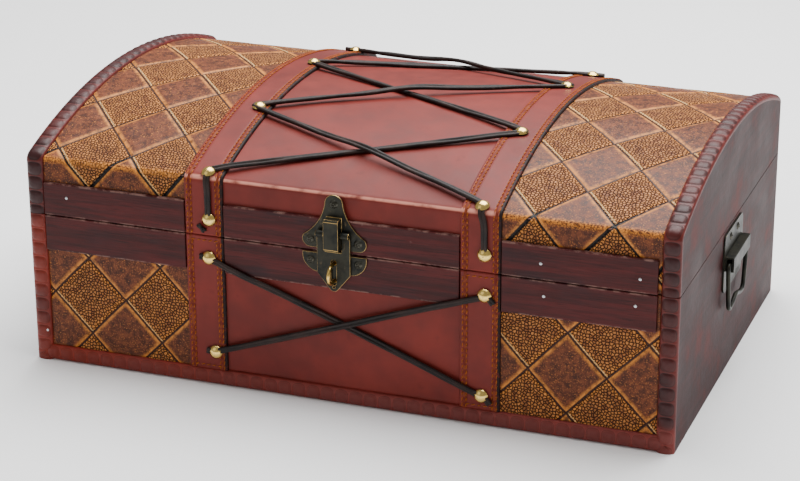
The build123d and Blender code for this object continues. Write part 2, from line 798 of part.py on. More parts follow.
# One leaf with its knuckles and the tail that stops the lid
def hinge_leaf(centre_x, down):
    sign = -1 if down else 1
    x0 = centre_x - leaf_width / 2
    x1 = centre_x + leaf_width / 2
    z_near = hinge_z + sign * leaf_near
    z_far = hinge_z + sign * leaf_height
    back = half_depth + band_off
    leaf = block(x0, x1, back, back + leaf_thick, z_near, z_far)
    bore_radius = hinge_pin_radius if down else hinge_pin_radius + hinge_play
    tail_turn = sign * open_angle / 2
    if not down:
        tail_turn += stop_slack
    for a, b in knuckle_spans(centre_x, down):
        middle = (a + b) / 2
        barrel = Pos(middle, hinge_y, hinge_z) * Rot(0, 90, 0) * Cylinder(barrel_radius, b - a)
        web = block(a, b, back + barrel_clear, back + leaf_thick, hinge_z, z_near)
        root = block(a, b, barrel_radius - 2 * tail_root, barrel_radius + leaf_clear, 0, sign * leaf_thick)
        leaf = leaf + barrel + web + Pos(0, hinge_y, hinge_z) * Rot(tail_turn, 0, 0) * root
    near = barrel_radius + leaf_clear
    tail = block(x0, x1, near, near + tail_reach, 0, sign * leaf_thick)
    leaf = leaf + Pos(0, hinge_y, hinge_z) * Rot(tail_turn, 0, 0) * tail
    bore = Pos(centre_x, hinge_y, hinge_z) * Rot(0, 90, 0) * Cylinder(bore_radius, leaf_width + 1)
    return leaf - bore


def hinges():
    lower = [hinge_leaf(sign * hinge_x, True) for sign in (-1, 1)]
    upper = [hinge_leaf(sign * hinge_x, False) for sign in (-1, 1)]
    pins = []
    for sign in (-1, 1):
        pin = Rot(0, 90, 0) * Cylinder(hinge_pin_radius, leaf_width)
        pins.append(Pos(sign * hinge_x, hinge_y, hinge_z) * pin)
    return {
        "hinge_lower_leaves": drilled(group(lower), lower_leaf_screws),
        "hinge_upper_leaves": drilled(group(upper), upper_leaf_screws),
        "hinge_pins": group(pins),
    }


# Right handle plate, folded at its foot into the square tube that holds the bail
def handle_plate():
    outline = Plane.YZ.offset(half_length) * Pos(0, (handle_low + handle_high) / 2) * RectangleRounded(
        2 * handle_half_width, handle_high - handle_low, handle_corner
    )
    plate = extrude(outline, amount=plate_thick)
    tube = block(tube_x, tube_x + tube_proud, -tube_half_length, tube_half_length, tube_low, tube_high)
    bore = block(
        tube_x + tube_wall,
        tube_x + tube_proud - tube_wall,
        -tube_half_length,
        tube_half_length,
        tube_low + tube_wall,
        tube_high - tube_wall,
    )
    long_edges = tube.faces().sort_by(Axis.X)[-1].edges().filter_by(Axis.Y)
    return plate + (fillet(long_edges, tube_wall / 2) - bore)


# Right bail: a bent wire that turns in the tube's open ends
def bail():
    half = [
        (bail_top_half - bail_pivot_engage - (bail_top_half - tube_half_length), bail_z),
        (bail_top_half, bail_z),
        (bail_corner_half, bail_corner_z),
        (bail_kink_half, bail_kink_z),
    ]
    right = [Vector(bail_x, y, z) for y, z in half]
    left = [Vector(bail_x, -y, z) for y, z in reversed(half)]
    points = right + [Vector(bail_x, 0, bail_middle_z)] + left
    bends = [bail_pivot_radius, bail_corner_radius, bail_kink_radius]
    radii = bends + [bail_kink_radius] + bends[::-1]
    path = FilletPolyline(*points, radius=radii)
    start = Plane(points[0], z_dir=(0, 1, 0))
    return sweep(start * Circle(bail_wire), path=path)


def handles():
    plate = handle_plate()
    loop = bail()
    return {
        "handle_plate_right": drilled(plate, handle_screws),
        "handle_plate_left": drilled(mirror(plate, Plane.YZ), handle_screws),
        "handle_screws": group(handle_screws),
        "bail_right": loop,
        "bail_left": mirror(loop, Plane.YZ),
    }


def fittings():
    return {
        "base_nails": group(base_nails),
        "lid_nails": group(lid_nails),
        "base_screws": group(catch_screws + lower_leaf_screws),
        "lid_screws": group(hasp_screws + upper_leaf_screws),
        "staple": staple,
        "hasp_plate": hasp_plate(),
        "hasp_pin": front_bar(pin_radius, flap_half_width, pin_off, pin_height),
        "hasp_flap": hasp_flap(),
        "catch_plate": catch_plate(),
    }


# Writes every piece
os.makedirs("parts", exist_ok=True)
for section in (base_boards, base_covering, lid_boards, lid_covering, laces, fittings, hinges, handles):
    for node, shape in section().items():
        export_step(shape, "parts/" + node + ".step")
        print(node, len(shape.solids()), round(sum(solid.volume for solid in shape.solids())))
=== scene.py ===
import math
import random

import bmesh
import bpy
import numpy as np
from bpy.props import FloatProperty, FloatVectorProperty, PointerProperty
from mathutils import Matrix, Vector


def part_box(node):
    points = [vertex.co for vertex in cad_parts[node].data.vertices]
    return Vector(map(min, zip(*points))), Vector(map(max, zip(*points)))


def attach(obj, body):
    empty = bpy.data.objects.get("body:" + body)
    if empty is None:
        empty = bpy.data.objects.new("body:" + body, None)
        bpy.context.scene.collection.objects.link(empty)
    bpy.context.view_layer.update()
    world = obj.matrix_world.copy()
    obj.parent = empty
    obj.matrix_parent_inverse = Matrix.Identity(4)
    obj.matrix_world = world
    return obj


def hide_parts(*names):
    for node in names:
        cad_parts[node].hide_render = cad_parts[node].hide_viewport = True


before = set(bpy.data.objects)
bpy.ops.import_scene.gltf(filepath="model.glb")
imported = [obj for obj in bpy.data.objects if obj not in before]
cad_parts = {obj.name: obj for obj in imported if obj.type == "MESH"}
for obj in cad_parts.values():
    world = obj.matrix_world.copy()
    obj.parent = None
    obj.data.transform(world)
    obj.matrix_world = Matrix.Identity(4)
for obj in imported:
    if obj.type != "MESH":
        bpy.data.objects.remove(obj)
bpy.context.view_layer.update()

bl_info = {
    "name": "Treasure Chest",
    "version": (1, 0, 0),
    "blender": (4, 5, 0),
    "location": "View3D > Sidebar > Chest",
    "description": "Dresses a domed, laced and leather-covered chest on its packed frame",
    "category": "Object",
}

# Corners of the chest, from its frame, in metres
HALF_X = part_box("base_right_end")[1].x
HALF_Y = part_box("base_right_end")[1].y
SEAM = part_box("base_right_end")[1].z
LID_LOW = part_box("lid_right_end")[0].z
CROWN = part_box("lid_right_end")[1].z
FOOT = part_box("base_leather_left")[0].z
TRIM_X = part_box("lid_leather_right")[1].x
BAND_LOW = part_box("base_band_centre")[0].z
LID_BAND_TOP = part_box("lid_band_centre")[1].z
STRAP_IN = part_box("lid_strap_right")[0].x
STRAP_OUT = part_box("lid_strap_right")[1].x
STRAP_X = (STRAP_IN + STRAP_OUT) / 2

# The lid's outside: upright sides, a soft shoulder and an arc
LID_SIDE = 0.0382
SHOULDER = LID_LOW + LID_SIDE
SHOULDER_SOFT = 0.0022
DOME_RISE = CROWN - SHOULDER
DOME_RADIUS = (HALF_Y**2 + DOME_RISE**2) / (2 * DOME_RISE)
DOME_MIDDLE = CROWN - DOME_RADIUS
ARC_END = DOME_RADIUS * math.asin(HALF_Y / DOME_RADIUS)
LID_END = ARC_END + SHOULDER - LID_LOW

# From one edge of a layer to the other, over the lid, up the front and down the back
LID_SPAN = (-LID_END, LID_END)
FRONT_SPAN = (FOOT, SEAM)
BACK_SPAN = (-SEAM, -FOOT)

# How far each layer's outside stands off the boards
LEATHER_OFF = 0.0010
BAND_OFF = 0.0035
STRAP_OFF = 0.0030
STRIP_OFF = 0.0032

# Relief of the diamond leather
DIAMOND_EDGE = 0.0385
GROOVE_DEPTH = 0.0007
BROAD_GROOVE = 0.0013
NARROW_GROOVE = 0.0009
PUFF_RISE = 0.00025
PUFF_REACH = 0.006
HAND_DRIFT = 0.0006

# Where a pebbled diamond has its middle, along the chest and up or over each sheet
DIAMOND_STARTS = {
    "base_left": (-0.1290, 0.0500),
    "base_right": (0.1776, 0.0714),
    "base_back": (0.0, 0.0500),
    "lid_left": (-0.1260, -0.0735),
    "lid_right": (0.1275, -0.0520),
}

# Nails that the laces turn at: along the chest, then up its front or, on the dome, from front to back
LID_FRONT_NAILS = {"left_0": (-0.0907, 0.1175), "right_0": (0.0973, 0.1177)}
BASE_NAILS = {
    "low_left": (-0.0885, 0.0241),
    "low_right": (0.0958, 0.0209),
    "high_left": (-0.0914, 0.0906),
    "high_right": (0.0975, 0.0904),
}
DOME_NAILS = {
    "left_1": (-0.0917, -0.1394),
    "left_2": (-0.0888, -0.0615),
    "left_3": (-0.0865, 0.0310),
    "left_4": (-0.0880, 0.1160),
    "right_1": (0.0942, -0.1394),
    "right_2": (0.0930, -0.0557),
    "right_3": (0.0949, 0.0414),
    "right_4": (0.0920, 0.1160),
}

# Section of the folded lace, across and up, then how it lies and rolls along its way
LACE_SECTION = [
    (-0.0022, -0.0004),
    (-0.0022, 0.0006),
    (-0.0016, 0.0014),
    (-0.0007, 0.0014),
    (-0.0001, 0.0005),
    (0.0005, 0.0012),
    (0.0015, 0.0013),
    (0.0021, 0.0005),
    (0.0021, -0.0005),
    (0.0014, -0.0013),
    (-0.0014, -0.0013),
]
LACE_HALF = 0.0013
LACE_SAG = 0.0018
LACE_CLIMB = 0.012
CROSS_HUMP = 0.0009
HUMP_REACH = 0.022
COVER_REACH = 4
LACE_REACH = 3
SLOW_ROLL = (0.30, 0.045)
QUICK_ROLL = (0.12, 0.17)

# How a lace turns out round a nail, and where it starts and ends beside its nails
NAIL_TURN_OUT = 0.0030
NAIL_TURN_STEP = 0.0024
BELOW_NAIL = 0.0030
ABOVE_NAIL = 0.0040
BELOW_SHOULDER = 0.004
FIRST_TURN = [(0.0, -0.0015), (0.0004, 0.0040)]
LAST_TURN = [(0.0, 0.0), (0.008, 0.0024)]
BASE_LACE_START = [(-0.0062, 0.0008), (-0.0032, 0.0004), (0.0, 0.0)]
BASE_LACE_END = [(0.0, 0.0), (0.0035, -0.0015), (0.0060, -0.0050)]

# Camera, worked out from the chest's corners
CAMERA_SPOT = (0.5424, -1.50596, 0.69073)
CAMERA_BACK = (0.32132, -0.87348, 0.36578)
CAMERA_ROLL = math.radians(-0.243)
CAMERA_LENS = 111.42
CAMERA_SENSOR = 36.0
CAMERA_FAR = 50.0

# Floor and lamps
FLOOR_REACH = 6.0
OVERHEAD_SPOT = (0.1, 0.45, 1.5)
OVERHEAD_SIZE = 1.6
FRONT_SPOT = (-1.0, -1.6, 1.2)
FRONT_SIZE = 1.4
LAMP_AIM = (0.0, 0.0, 0.08)


def tone(red, green, blue):
    """A screen colour of 0 to 255 as a scene colour."""
    parts = []
    for part in (red, green, blue):
        share = part / 255
        parts.append(share / 12.92 if share <= 0.04045 else ((share + 0.055) / 1.055) ** 2.4)
    return (*parts, 1.0)


def colour_property(name, description, shade):
    return FloatVectorProperty(
        name=name, description=description, subtype="COLOR", size=4, min=0.0, max=1.0, default=shade
    )


def length_property(name, description, length):
    return FloatProperty(name=name, description=description, default=length, unit="LENGTH")


def power_property(name, description, power):
    return FloatProperty(name=name, description=description, default=power, unit="POWER")


class LeatherSettings(bpy.types.PropertyGroup):
    """Sizes and colours of the diamond leather and the red leather."""

    diamond_width: length_property("Diamond width", "Width of a diamond, point to point", 0.0518)
    base_height: length_property("Base diamond height", "Height of a diamond on the base", 0.0547)
    lid_height: length_property("Lid diamond height", "Height of a diamond over the lid", 0.0588)
    step: length_property("Leather detail", "Distance between the sheet's points", 0.0009)
    pebble: length_property("Pebble size", "Size of one pebble", 0.0021)
    pebble_top: colour_property("Pebble", "Rubbed top of a pebble", tone(182, 116, 58))
    pebble_low: colour_property("Pebble crevice", "Between the pebbles", tone(44, 20, 11))
    smooth_dark: colour_property("Smooth dark", "Dark mottling of smooth diamonds", tone(62, 28, 16))
    smooth_light: colour_property("Smooth light", "Light mottling of smooth diamonds", tone(112, 58, 32))
    # Rubbed gold is also the colour of the painted highlight along the lid's shoulder.
    rubbed: colour_property("Rubbed gold", "Rubbed edges beside the grooves", tone(224, 142, 58))
    groove: colour_property("Groove", "Bottom of the grooves", tone(15, 9, 8))
    red_deep: colour_property("Deep red", "Darker tone of the red leather", tone(96, 30, 24))
    red_light: colour_property("Light red", "Lighter tone of the red leather", tone(124, 42, 34))
    # Painted highlight: the worn crease colour stands for light caught along the shoulder crease.
    crease: colour_property("Worn crease", "Worn line over the shoulder", tone(226, 150, 130))
    thread: colour_property("Thread", "Stitches along the straps", tone(198, 108, 38))


class WoodSettings(bpy.types.PropertyGroup):
    """Sizes and colours of the bands, ends and moulding."""

    bead_pitch: length_property("Bead pitch", "Distance from bead to bead", 0.0100)
    bead_rise: length_property("Bead rise", "Height of a bead above its strip", 0.0012)
    band_dark: colour_property("Band dark", "Dark grain of the bands", tone(52, 15, 15))
    band_light: colour_property("Band light", "Light grain of the bands", tone(80, 22, 21))
    trim_dark: colour_property("Moulding crevice", "Crevices of the moulding", tone(20, 5, 5))
    trim_light: colour_property("Moulding", "Beads of the moulding", tone(96, 22, 12))
    end_dark: colour_property("End dark", "Dark grain of the end boards", tone(40, 15, 16))
    end_light: colour_property("End light", "Light grain of the end boards", tone(60, 23, 23))


class MetalSettings(bpy.types.PropertyGroup):
    """Colours of the nails and fittings."""

    nail: colour_property("Nail brass", "Polished nail heads", tone(240, 206, 118))
    bronze: colour_property("Antique bronze", "Flat faces of the fittings", tone(44, 43, 34))
    rubbed: colour_property("Rubbed brass", "Worn edges of the fittings", tone(176, 146, 92))
    edge: length_property("Worn edge", "Width of a worn edge", 0.0003)


class StageSettings(bpy.types.PropertyGroup):
    """Light and floor."""

    floor: colour_property("Floor", "Pale floor", tone(252, 252, 252))
    sky: FloatProperty(name="Surrounding light", description="Strength of the even light", default=0.34)
    overhead: power_property("Overhead light", "Power of the overhead light", 76.0)
    front: power_property("Front light", "Power of the front light", 3.9)


class Signal:
    """One shader socket, so that masks and heights are written as sums and products."""

    def __init__(self, finish, socket):
        self.finish = finish
        self.socket = socket

    def math(self, operation, first, second=0.0):
        return self.finish.node("ShaderNodeMath", {"operation": operation}, {0: first, 1: second})

    def __add__(self, other):
        return self.math("ADD", self, other)

    def __radd__(self, other):
        return self.math("ADD", other, self)

    def __sub__(self, other):
        return self.math("SUBTRACT", self, other)

    def __rsub__(self, other):
        return self.math("SUBTRACT", other, self)

    def __mul__(self, other):
        return self.math("MULTIPLY", self, other)

    def __rmul__(self, other):
        return self.math("MULTIPLY", other, self)

    def __mod__(self, other):
        return self.math("FLOORED_MODULO", self, other)

    def __abs__(self):
        return self.math("ABSOLUTE", self)

    def floor(self):
        return self.math("FLOOR", self)

    def least(self, other):
        return self.math("MINIMUM", self, other)

    def most(self, other):
        return self.math("MAXIMUM", self, other)

    def between(self, low, high):
        """0 at low, 1 at high and smooth on the way, also where low is the higher number."""
        ends = {"Value": self, "From Min": low, "From Max": high}
        return self.finish.node("ShaderNodeMapRange", {"interpolation_type": "SMOOTHSTEP"}, ends)


class Finish:
    """A material, built from shader nodes."""

    def __init__(self, name, constants):
        self.material = bpy.data.materials.new("finish_" + name)
        self.material.use_nodes = True
        self.tree = self.material.node_tree
        self.shader = self.tree.nodes["Principled BSDF"]
        for socket, value in constants.items():
            self.shader.inputs[socket].default_value = value

    def feed(self, socket, value):
        if isinstance(value, Signal):
            self.tree.links.new(value.socket, socket)
        else:
            socket.default_value = value

    def node(self, kind, settings=None, inputs=None, output=0):
        """Adds one node, its settings first and then its values and links."""
        made = self.tree.nodes.new(kind)
        for key, value in (settings or {}).items():
            setattr(made, key, value)
        for key, value in (inputs or {}).items():
            self.feed(made.inputs[key], value)
        return Signal(self, made.outputs[output])

    def part(self, vector, number):
        """One number of a vector: 0, 1 or 2."""
        return self.node("ShaderNodeSeparateXYZ", None, {0: vector}, number)

    def place(self, scale=(1.0, 1.0, 1.0)):
        spot = self.node("ShaderNodeTexCoord", output="Object")
        return self.node("ShaderNodeMapping", None, {"Vector": spot, "Scale": scale})

    def layer(self, name):
        return self.node("ShaderNodeUVMap", {"uv_map": name})

    def noise(self, scale, vector=None, detail=4.0, rough=0.55):
        spot = vector or self.place()
        values = {"Vector": spot, "Scale": scale, "Detail": detail, "Roughness": rough}
        return self.node("ShaderNodeTexNoise", None, values)

    def mix(self, share, first, second):
        return self.node("ShaderNodeMix", {"data_type": "RGBA"}, {0: share, 6: first, 7: second}, 2)

    def surface(self, socket, signal):
        self.feed(self.shader.inputs[socket], signal)

    def bump(self, height, distance, strength=1.0):
        values = {"Height": height, "Distance": distance, "Strength": strength}
        self.surface("Normal", self.node("ShaderNodeBump", None, values))


def finish_of(name, maker, looks):
    """The material of a name, made once."""
    return bpy.data.materials.get("finish_" + name) or maker(looks)


def diamond_leather(looks):
    """Embossed leather: pebbled and smooth diamonds between worn grooves, with painted highlights along the
    shoulder and beside the narrow grooves.
    """
    made = Finish("diamond_leather", {"Roughness": 0.45, "Specular IOR Level": 0.2})
    cell = made.layer("diamonds")
    u, v = made.part(cell, 0), made.part(cell, 1)
    spread = made.layer("spread")
    s = made.part(spread, 1)
    cell_u = (u + 0.5).floor()
    cell_v = (v + 0.5).floor()
    smooth = (cell_u + cell_v) % 2.0
    edge_u = (0.5 - abs(u - cell_u)) * DIAMOND_EDGE
    edge_v = (0.5 - abs(v - cell_v)) * DIAMOND_EDGE
    nearest = edge_u.least(edge_v)
    wobble = made.noise(220.0, detail=3.0)
    fine = made.noise(900.0, detail=5.0, rough=0.65)
    patches = made.noise(38.0, detail=3.0)

    cells = made.node(
        "ShaderNodeTexVoronoi",
        {"feature": "DISTANCE_TO_EDGE", "voronoi_dimensions": "2D"},
        {"Vector": spread, "Scale": 1.0 / looks.pebble, "Randomness": 0.85},
    )
    pebble = cells.between(0.02, 0.28)
    tops = made.mix(wobble.between(0.42, 0.66) * 0.7, looks.pebble_top, looks.smooth_light)
    tops = made.mix(patches.between(0.5, 0.75) * 0.4, tops, looks.smooth_dark)
    tops = made.mix(nearest.between(0.0045, 0.0012) * 0.6, tops, looks.rubbed)
    pebbled = made.mix(pebble, looks.pebble_low, tops)

    mottle = wobble * 0.6 + fine * 0.4
    plain = made.mix(mottle.between(0.38, 0.62), looks.smooth_dark, looks.smooth_light)
    plain = made.mix(fine.between(0.56, 0.70) * 0.6, plain, looks.rubbed)
    rub = nearest.between(0.0040, 0.0010) * (mottle.between(0.36, 0.58) * 0.65 + 0.15)
    plain = made.mix(rub, plain, looks.rubbed)

    skin = made.mix(smooth, pebbled, plain)
    # Painted highlight: a cream line along one side of each narrow groove on the pebbled diamonds, standing
    # for light caught on the groove's edge.
    near_side = (u - cell_u).between(0.1, -0.1)
    lip_highlight = abs(edge_u - 0.0015).between(0.0007, 0.0001) * (1.0 - smooth) * near_side
    skin = made.mix(lip_highlight * 0.7, skin, tone(238, 200, 140))
    dome = abs(s).between(ARC_END, ARC_END - 0.02)
    broad = (edge_v + dome * 0.0005).between(0.0017, 0.0009)
    narrow = edge_u.between(0.0011, 0.0004)
    # Painted highlight: a golden band along the shoulder, broken by noise, standing for light caught on the
    # shoulder.
    shoulder = abs(abs(s) - ARC_END).between(0.0035, 0.0005) * fine.between(0.4, 0.6)
    skin = made.mix(shoulder * 0.7, skin, looks.rubbed)
    bottom = made.mix(dome * 0.6, looks.groove, tone(70, 40, 30))
    made.surface("Base Color", made.mix(broad.most(narrow), skin, bottom))
    made.surface("Roughness", 0.36 + 0.3 * (1.0 - pebble) * (1.0 - smooth) + 0.22 * mottle)
    made.bump(pebble * (1.0 - smooth) + 0.15 * fine + 0.1 * wobble, 0.0006)
    return made.material


def red_leather(looks):
    """Smooth brick-red leather with faint creases and a painted highlight along the shoulder."""
    made = Finish("red_leather", {"Roughness": 0.4, "Specular IOR Level": 0.22})
    s = made.part(made.layer("spread"), 1)
    broad = made.noise(14.0, detail=3.0)
    cloud = made.noise(70.0, detail=5.0)
    grain = made.noise(1300.0, detail=3.0)
    tint = made.mix((broad * 0.6 + cloud * 0.4).between(0.32, 0.70), looks.red_deep, looks.red_light)
    tint = made.mix(cloud.between(0.62, 0.8) * 0.35, tint, looks.groove)
    # Painted highlight: a thin pale line along the shoulder crease, standing for light caught there.
    ridge = abs(abs(s) - ARC_END).between(0.0014, 0.0003) * cloud.between(0.30, 0.56)
    made.surface("Base Color", made.mix(ridge * 0.85, tint, looks.crease))
    made.surface("Roughness", 0.36 + 0.18 * cloud + 0.1 * grain)
    made.bump(grain * 0.3 + cloud * 0.7, 0.0002, 0.8)
    return made.material


def painted_edge(looks):
    """Dark paint along a strap's edge."""
    made = Finish("strap_edge", {"Roughness": 0.6, "Specular IOR Level": 0.2})
    worn = made.noise(260.0)
    made.surface("Base Color", made.mix(worn.between(0.5, 0.75), tone(30, 18, 17), looks.red_deep))
    made.bump(worn, 0.0002)
    return made.material


def tan_ridge(looks):
    """Rubbed tan leather of the raised ridges."""
    made = Finish("tan_ridge", {"Roughness": 0.55, "Specular IOR Level": 0.12})
    worn = made.noise(320.0)
    made.surface("Base Color", made.mix(worn.between(0.36, 0.6), tone(124, 58, 32), looks.red_deep))
    made.bump(worn, 0.0002)
    return made.material


def stitch_thread(looks):
    """Waxed orange thread."""
    made = Finish("stitch_thread", {"Roughness": 0.7, "Specular IOR Level": 0.1})
    twist = made.noise(2600.0, detail=2.0)
    made.surface("Base Color", made.mix(twist.between(0.35, 0.65), looks.thread, looks.smooth_dark))
    made.bump(twist, 0.0001)
    return made.material


def band_wood(looks):
    """Dark stained band with grain along it and worn edges."""
    made = Finish("band_wood", {"Roughness": 0.35, "Specular IOR Level": 0.2})
    level = made.part(made.layer("level"), 1)
    grain = made.noise(60.0, made.place((0.30, 2.5, 5.0)), 6.0, 0.6)
    pores = made.noise(420.0, made.place((0.12, 1.0, 2.4)), 3.0, 0.6)
    patch = made.noise(24.0, made.place((1.0, 1.0, 1.6)), 3.0)
    scuff = made.noise(130.0, detail=5.0, rough=0.7)
    tint = made.mix(grain.between(0.32, 0.70), looks.band_dark, looks.band_light)
    tint = made.mix(patch.between(0.54, 0.76) * 0.5, tint, tone(32, 22, 28))
    tint = made.mix(pores.between(0.56, 0.7) * 0.5, tint, tone(18, 10, 10))
    worn = abs(level - 0.5).between(0.44, 0.495) * scuff.between(0.42, 0.6)
    tint = made.mix(worn * 0.45, tint, tone(170, 132, 120))
    made.surface("Base Color", made.mix(scuff.between(0.68, 0.78) * 0.45, tint, tone(150, 118, 110)))
    made.surface("Roughness", 0.28 + 0.3 * scuff)
    made.bump(grain * 0.6 + pores * 0.4, 0.0003)
    return made.material


def bead_wood(looks):
    """Burgundy moulding, dark around each bead, redder at the base's front left, and lightened along the
    foot and on the ridges between beads as painted light.
    """
    made = Finish("bead_wood", {"Roughness": 0.35, "Specular IOR Level": 0.3})
    rise = made.node("ShaderNodeAttribute", {"attribute_name": "rise"}, None, "Fac")
    drift = made.noise(26.0, detail=3.0)
    speck = made.noise(500.0, detail=4.0)
    body = made.mix(drift.between(0.40, 0.66) * 0.8 + 0.1, tone(48, 13, 14), looks.trim_light)
    spot = made.place()
    x, y, z = (made.part(spot, number) for number in (0, 1, 2))
    # Redder toward the left, on the base's front below the seam.
    low = z.between(SEAM + 0.0005, SEAM - 0.0005) * y.between(0.0, -0.05)
    front_left_red = x.between(0.05, -0.21) * low * (drift.between(0.3, 0.5) * 0.5 + 0.4)
    # Painted light: the foot and the lowest part of the uprights are lightened to stand for light falling
    # on their fronts.
    foot = z.between(FOOT + 0.009, FOOT + 0.001) * 0.8
    body = made.mix(foot, body, tone(148, 64, 56))
    body = made.mix(front_left_red, body, tone(150, 44, 20))
    body = made.mix(speck.between(0.6, 0.75) * 0.4, body, looks.trim_dark)
    # Painted highlight: lighter red on the thin ridges between beads, standing for light glinting on them.
    body = made.mix(rise.between(0.15, 0.0) * 0.5, body, tone(104, 32, 26))
    body = made.mix(rise.between(0.4, 0.9) * 0.45, body, tone(40, 13, 15))
    ring = rise.between(0.05, 0.3) * rise.between(0.75, 0.35)
    made.surface("Base Color", made.mix(ring * 0.55, body, looks.trim_dark))
    made.surface("Roughness", 0.34 + 0.25 * speck)
    made.bump(speck, 0.00015)
    return made.material


def end_wood(looks):
    """Satin stained end board with grain along it and blotches."""
    made = Finish("end_wood", {"Roughness": 0.5, "Specular IOR Level": 0.1})
    grain = made.noise(42.0, made.place((1.0, 0.5, 6.0)), 6.0, 0.62)
    blotch = made.noise(30.0, detail=4.0)
    speck = made.noise(260.0, detail=4.0)
    tint = made.mix(grain.between(0.28, 0.76), looks.end_dark, looks.end_light)
    tint = made.mix(blotch.between(0.52, 0.74) * 0.35, tint, tone(120, 44, 36))
    made.surface("Base Color", made.mix(speck.between(0.62, 0.75) * 0.4, tint, looks.band_dark))
    made.surface("Roughness", 0.42 + 0.26 * blotch)
    made.bump(grain * 0.5 + speck * 0.5, 0.0003)
    return made.material


def plain_wood(looks):
    """Brown stained board under the covering."""
    made = Finish("plain_wood", {"Roughness": 0.65})
    grain = made.noise(50.0, made.place((0.4, 4.0, 6.0)), 5.0)
    made.surface("Base Color", made.mix(grain.between(0.35, 0.65), tone(66, 30, 22), tone(104, 54, 38)))
    made.bump(grain, 0.0003)
    return made.material


def lining_cloth(looks):
    """Dark brushed cloth."""
    made = Finish("lining_cloth", {"Roughness": 0.9})
    fibres = made.noise(1500.0, detail=4.0)
    shade = made.noise(40.0)
    tint = made.mix(fibres.between(0.3, 0.7), tone(62, 20, 20), tone(96, 36, 34))
    made.surface("Base Color", made.mix(shade.between(0.5, 0.8) * 0.4, tint, looks.band_dark))
    made.bump(fibres, 0.0003)
    return made.material


def lace_leather(looks):
    """Near-black folded lace with cracks along it."""
    made = Finish("lace_leather", {"Roughness": 0.5, "Specular IOR Level": 0.3})
    crack = made.noise(420.0, detail=5.0, rough=0.65)
    shade = made.noise(60.0)
    tint = made.mix(shade.between(0.4, 0.65), tone(22, 14, 12), tone(44, 29, 24))
    made.surface("Base Color", made.mix(crack.between(0.6, 0.75) * 0.5, tint, tone(92, 72, 62)))
    made.surface("Roughness", 0.42 + 0.25 * crack)
    made.bump(crack, 0.0003)
    return made.material


def brass(name, colour, tarnish, roughness, wear):
    """Worn metal with fine scratches."""
    made = Finish(name, {"Metallic": 1.0, "Roughness": roughness})
    patch = made.noise(180.0, detail=4.0)
    scratch = made.noise(1400.0, made.place((1.0, 1.0, 0.25)), 3.0)
    tint = made.mix(patch.between(0.5, 0.7) * wear, colour, tarnish)
    made.surface("Base Color", made.mix(scratch.between(0.62, 0.72) * 0.35, tint, tarnish))
    made.surface("Roughness", roughness + 0.14 * patch)
    made.bump(patch * 0.6 + scratch * 0.4, 0.00015)
    return made.material


def bronze(looks):
    """Dark antique metal, greenish black, rubbed here and there."""
    made = Finish("antique_bronze", {"Metallic": 0.5, "Roughness": 0.42, "Specular IOR Level": 0.3})
    patch = made.noise(120.0, detail=5.0)
    rub = made.noise(300.0, made.place((1.0, 1.0, 0.5)), 4.0, 0.6)
    tint = made.mix(patch.between(0.4, 0.65), looks.bronze, tone(26, 27, 24))
    made.surface("Base Color", made.mix(rub.between(0.62, 0.78) * 0.5, tint, tone(128, 106, 70)))
    made.surface("Roughness", 0.34 + 0.25 * patch)
    made.bump(patch * 0.5 + rub * 0.5, 0.0002)
    return made.material


def lid_section(s):
    """Where the lid's outside runs at s from the crown, with its outward direction: y, z, dy, dz."""
    side = np.where(s < 0, -1.0, 1.0)
    far = np.abs(s)
    turn = np.minimum(far, ARC_END - SHOULDER_SOFT) / DOME_RADIUS
    y, z = DOME_RADIUS * np.sin(turn), DOME_MIDDLE + DOME_RADIUS * np.cos(turn)
    out_y, out_z = np.sin(turn), np.cos(turn)
    share = np.clip((far - ARC_END + SHOULDER_SOFT) / (2 * SHOULDER_SOFT), 0.0, 1.0)
    last = (ARC_END - SHOULDER_SOFT) / DOME_RADIUS
    start = (DOME_RADIUS * math.sin(last), DOME_MIDDLE + DOME_RADIUS * math.cos(last))
    corner, end = (HALF_Y, SHOULDER), (HALF_Y, SHOULDER - SHOULDER_SOFT)
    soft = []
    slope = []
    for a, b, c in zip(start, corner, end):
        soft.append((1 - share) ** 2 * a + 2 * share * (1 - share) * b + share**2 * c)
        slope.append((1 - share) * (b - a) + share * (c - b))
    length = np.hypot(*slope)
    in_corner = share > 0
    y, z = np.where(in_corner, soft[0], y), np.where(in_corner, soft[1], z)
    out_y = np.where(in_corner, -slope[1] / length, out_y)
    out_z = np.where(in_corner, slope[0] / length, out_z)
    z = np.where(far > ARC_END + SHOULDER_SOFT, SHOULDER - (far - ARC_END), z)
    return side * y, z, side * out_y, out_z


def on_lid(x, s, off):
    """Places on the lid, s from the crown, less than 0 toward the front."""
    y, z, out_y, out_z = lid_section(s)
    return np.stack((x + 0 * y, y + out_y * off, z + out_z * off), -1)


def on_base_front(x, s, off):
    """Places on the base's front, s up from the floor."""
    return np.stack((x + 0 * s, -(HALF_Y + off) + 0 * s, s + 0 * x), -1)


def on_base_back(x, s, off):
    """Places on the base's back, at the height -s."""
    return np.stack((x + 0 * s, HALF_Y + off + 0 * s, -s + 0 * x), -1)


def new_piece(name, vertices, faces, materials, body, slot, nodes=(), smooth=True):
    """Makes a mesh piece that rides on a body and stands for its nodes."""
    mesh = bpy.data.meshes.new(name)
    mesh.from_pydata(np.asarray(vertices).tolist(), [], [tuple(face) for face in faces])
    mesh.update()
    mesh.polygons.foreach_set("use_smooth", [smooth] * len(mesh.polygons))
    for material in materials:
        mesh.materials.append(material)
    piece = bpy.data.objects.new(name, mesh)
    bpy.context.scene.collection.objects.link(piece)
    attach(piece, body)
    if nodes:
        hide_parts(*nodes)
    return piece


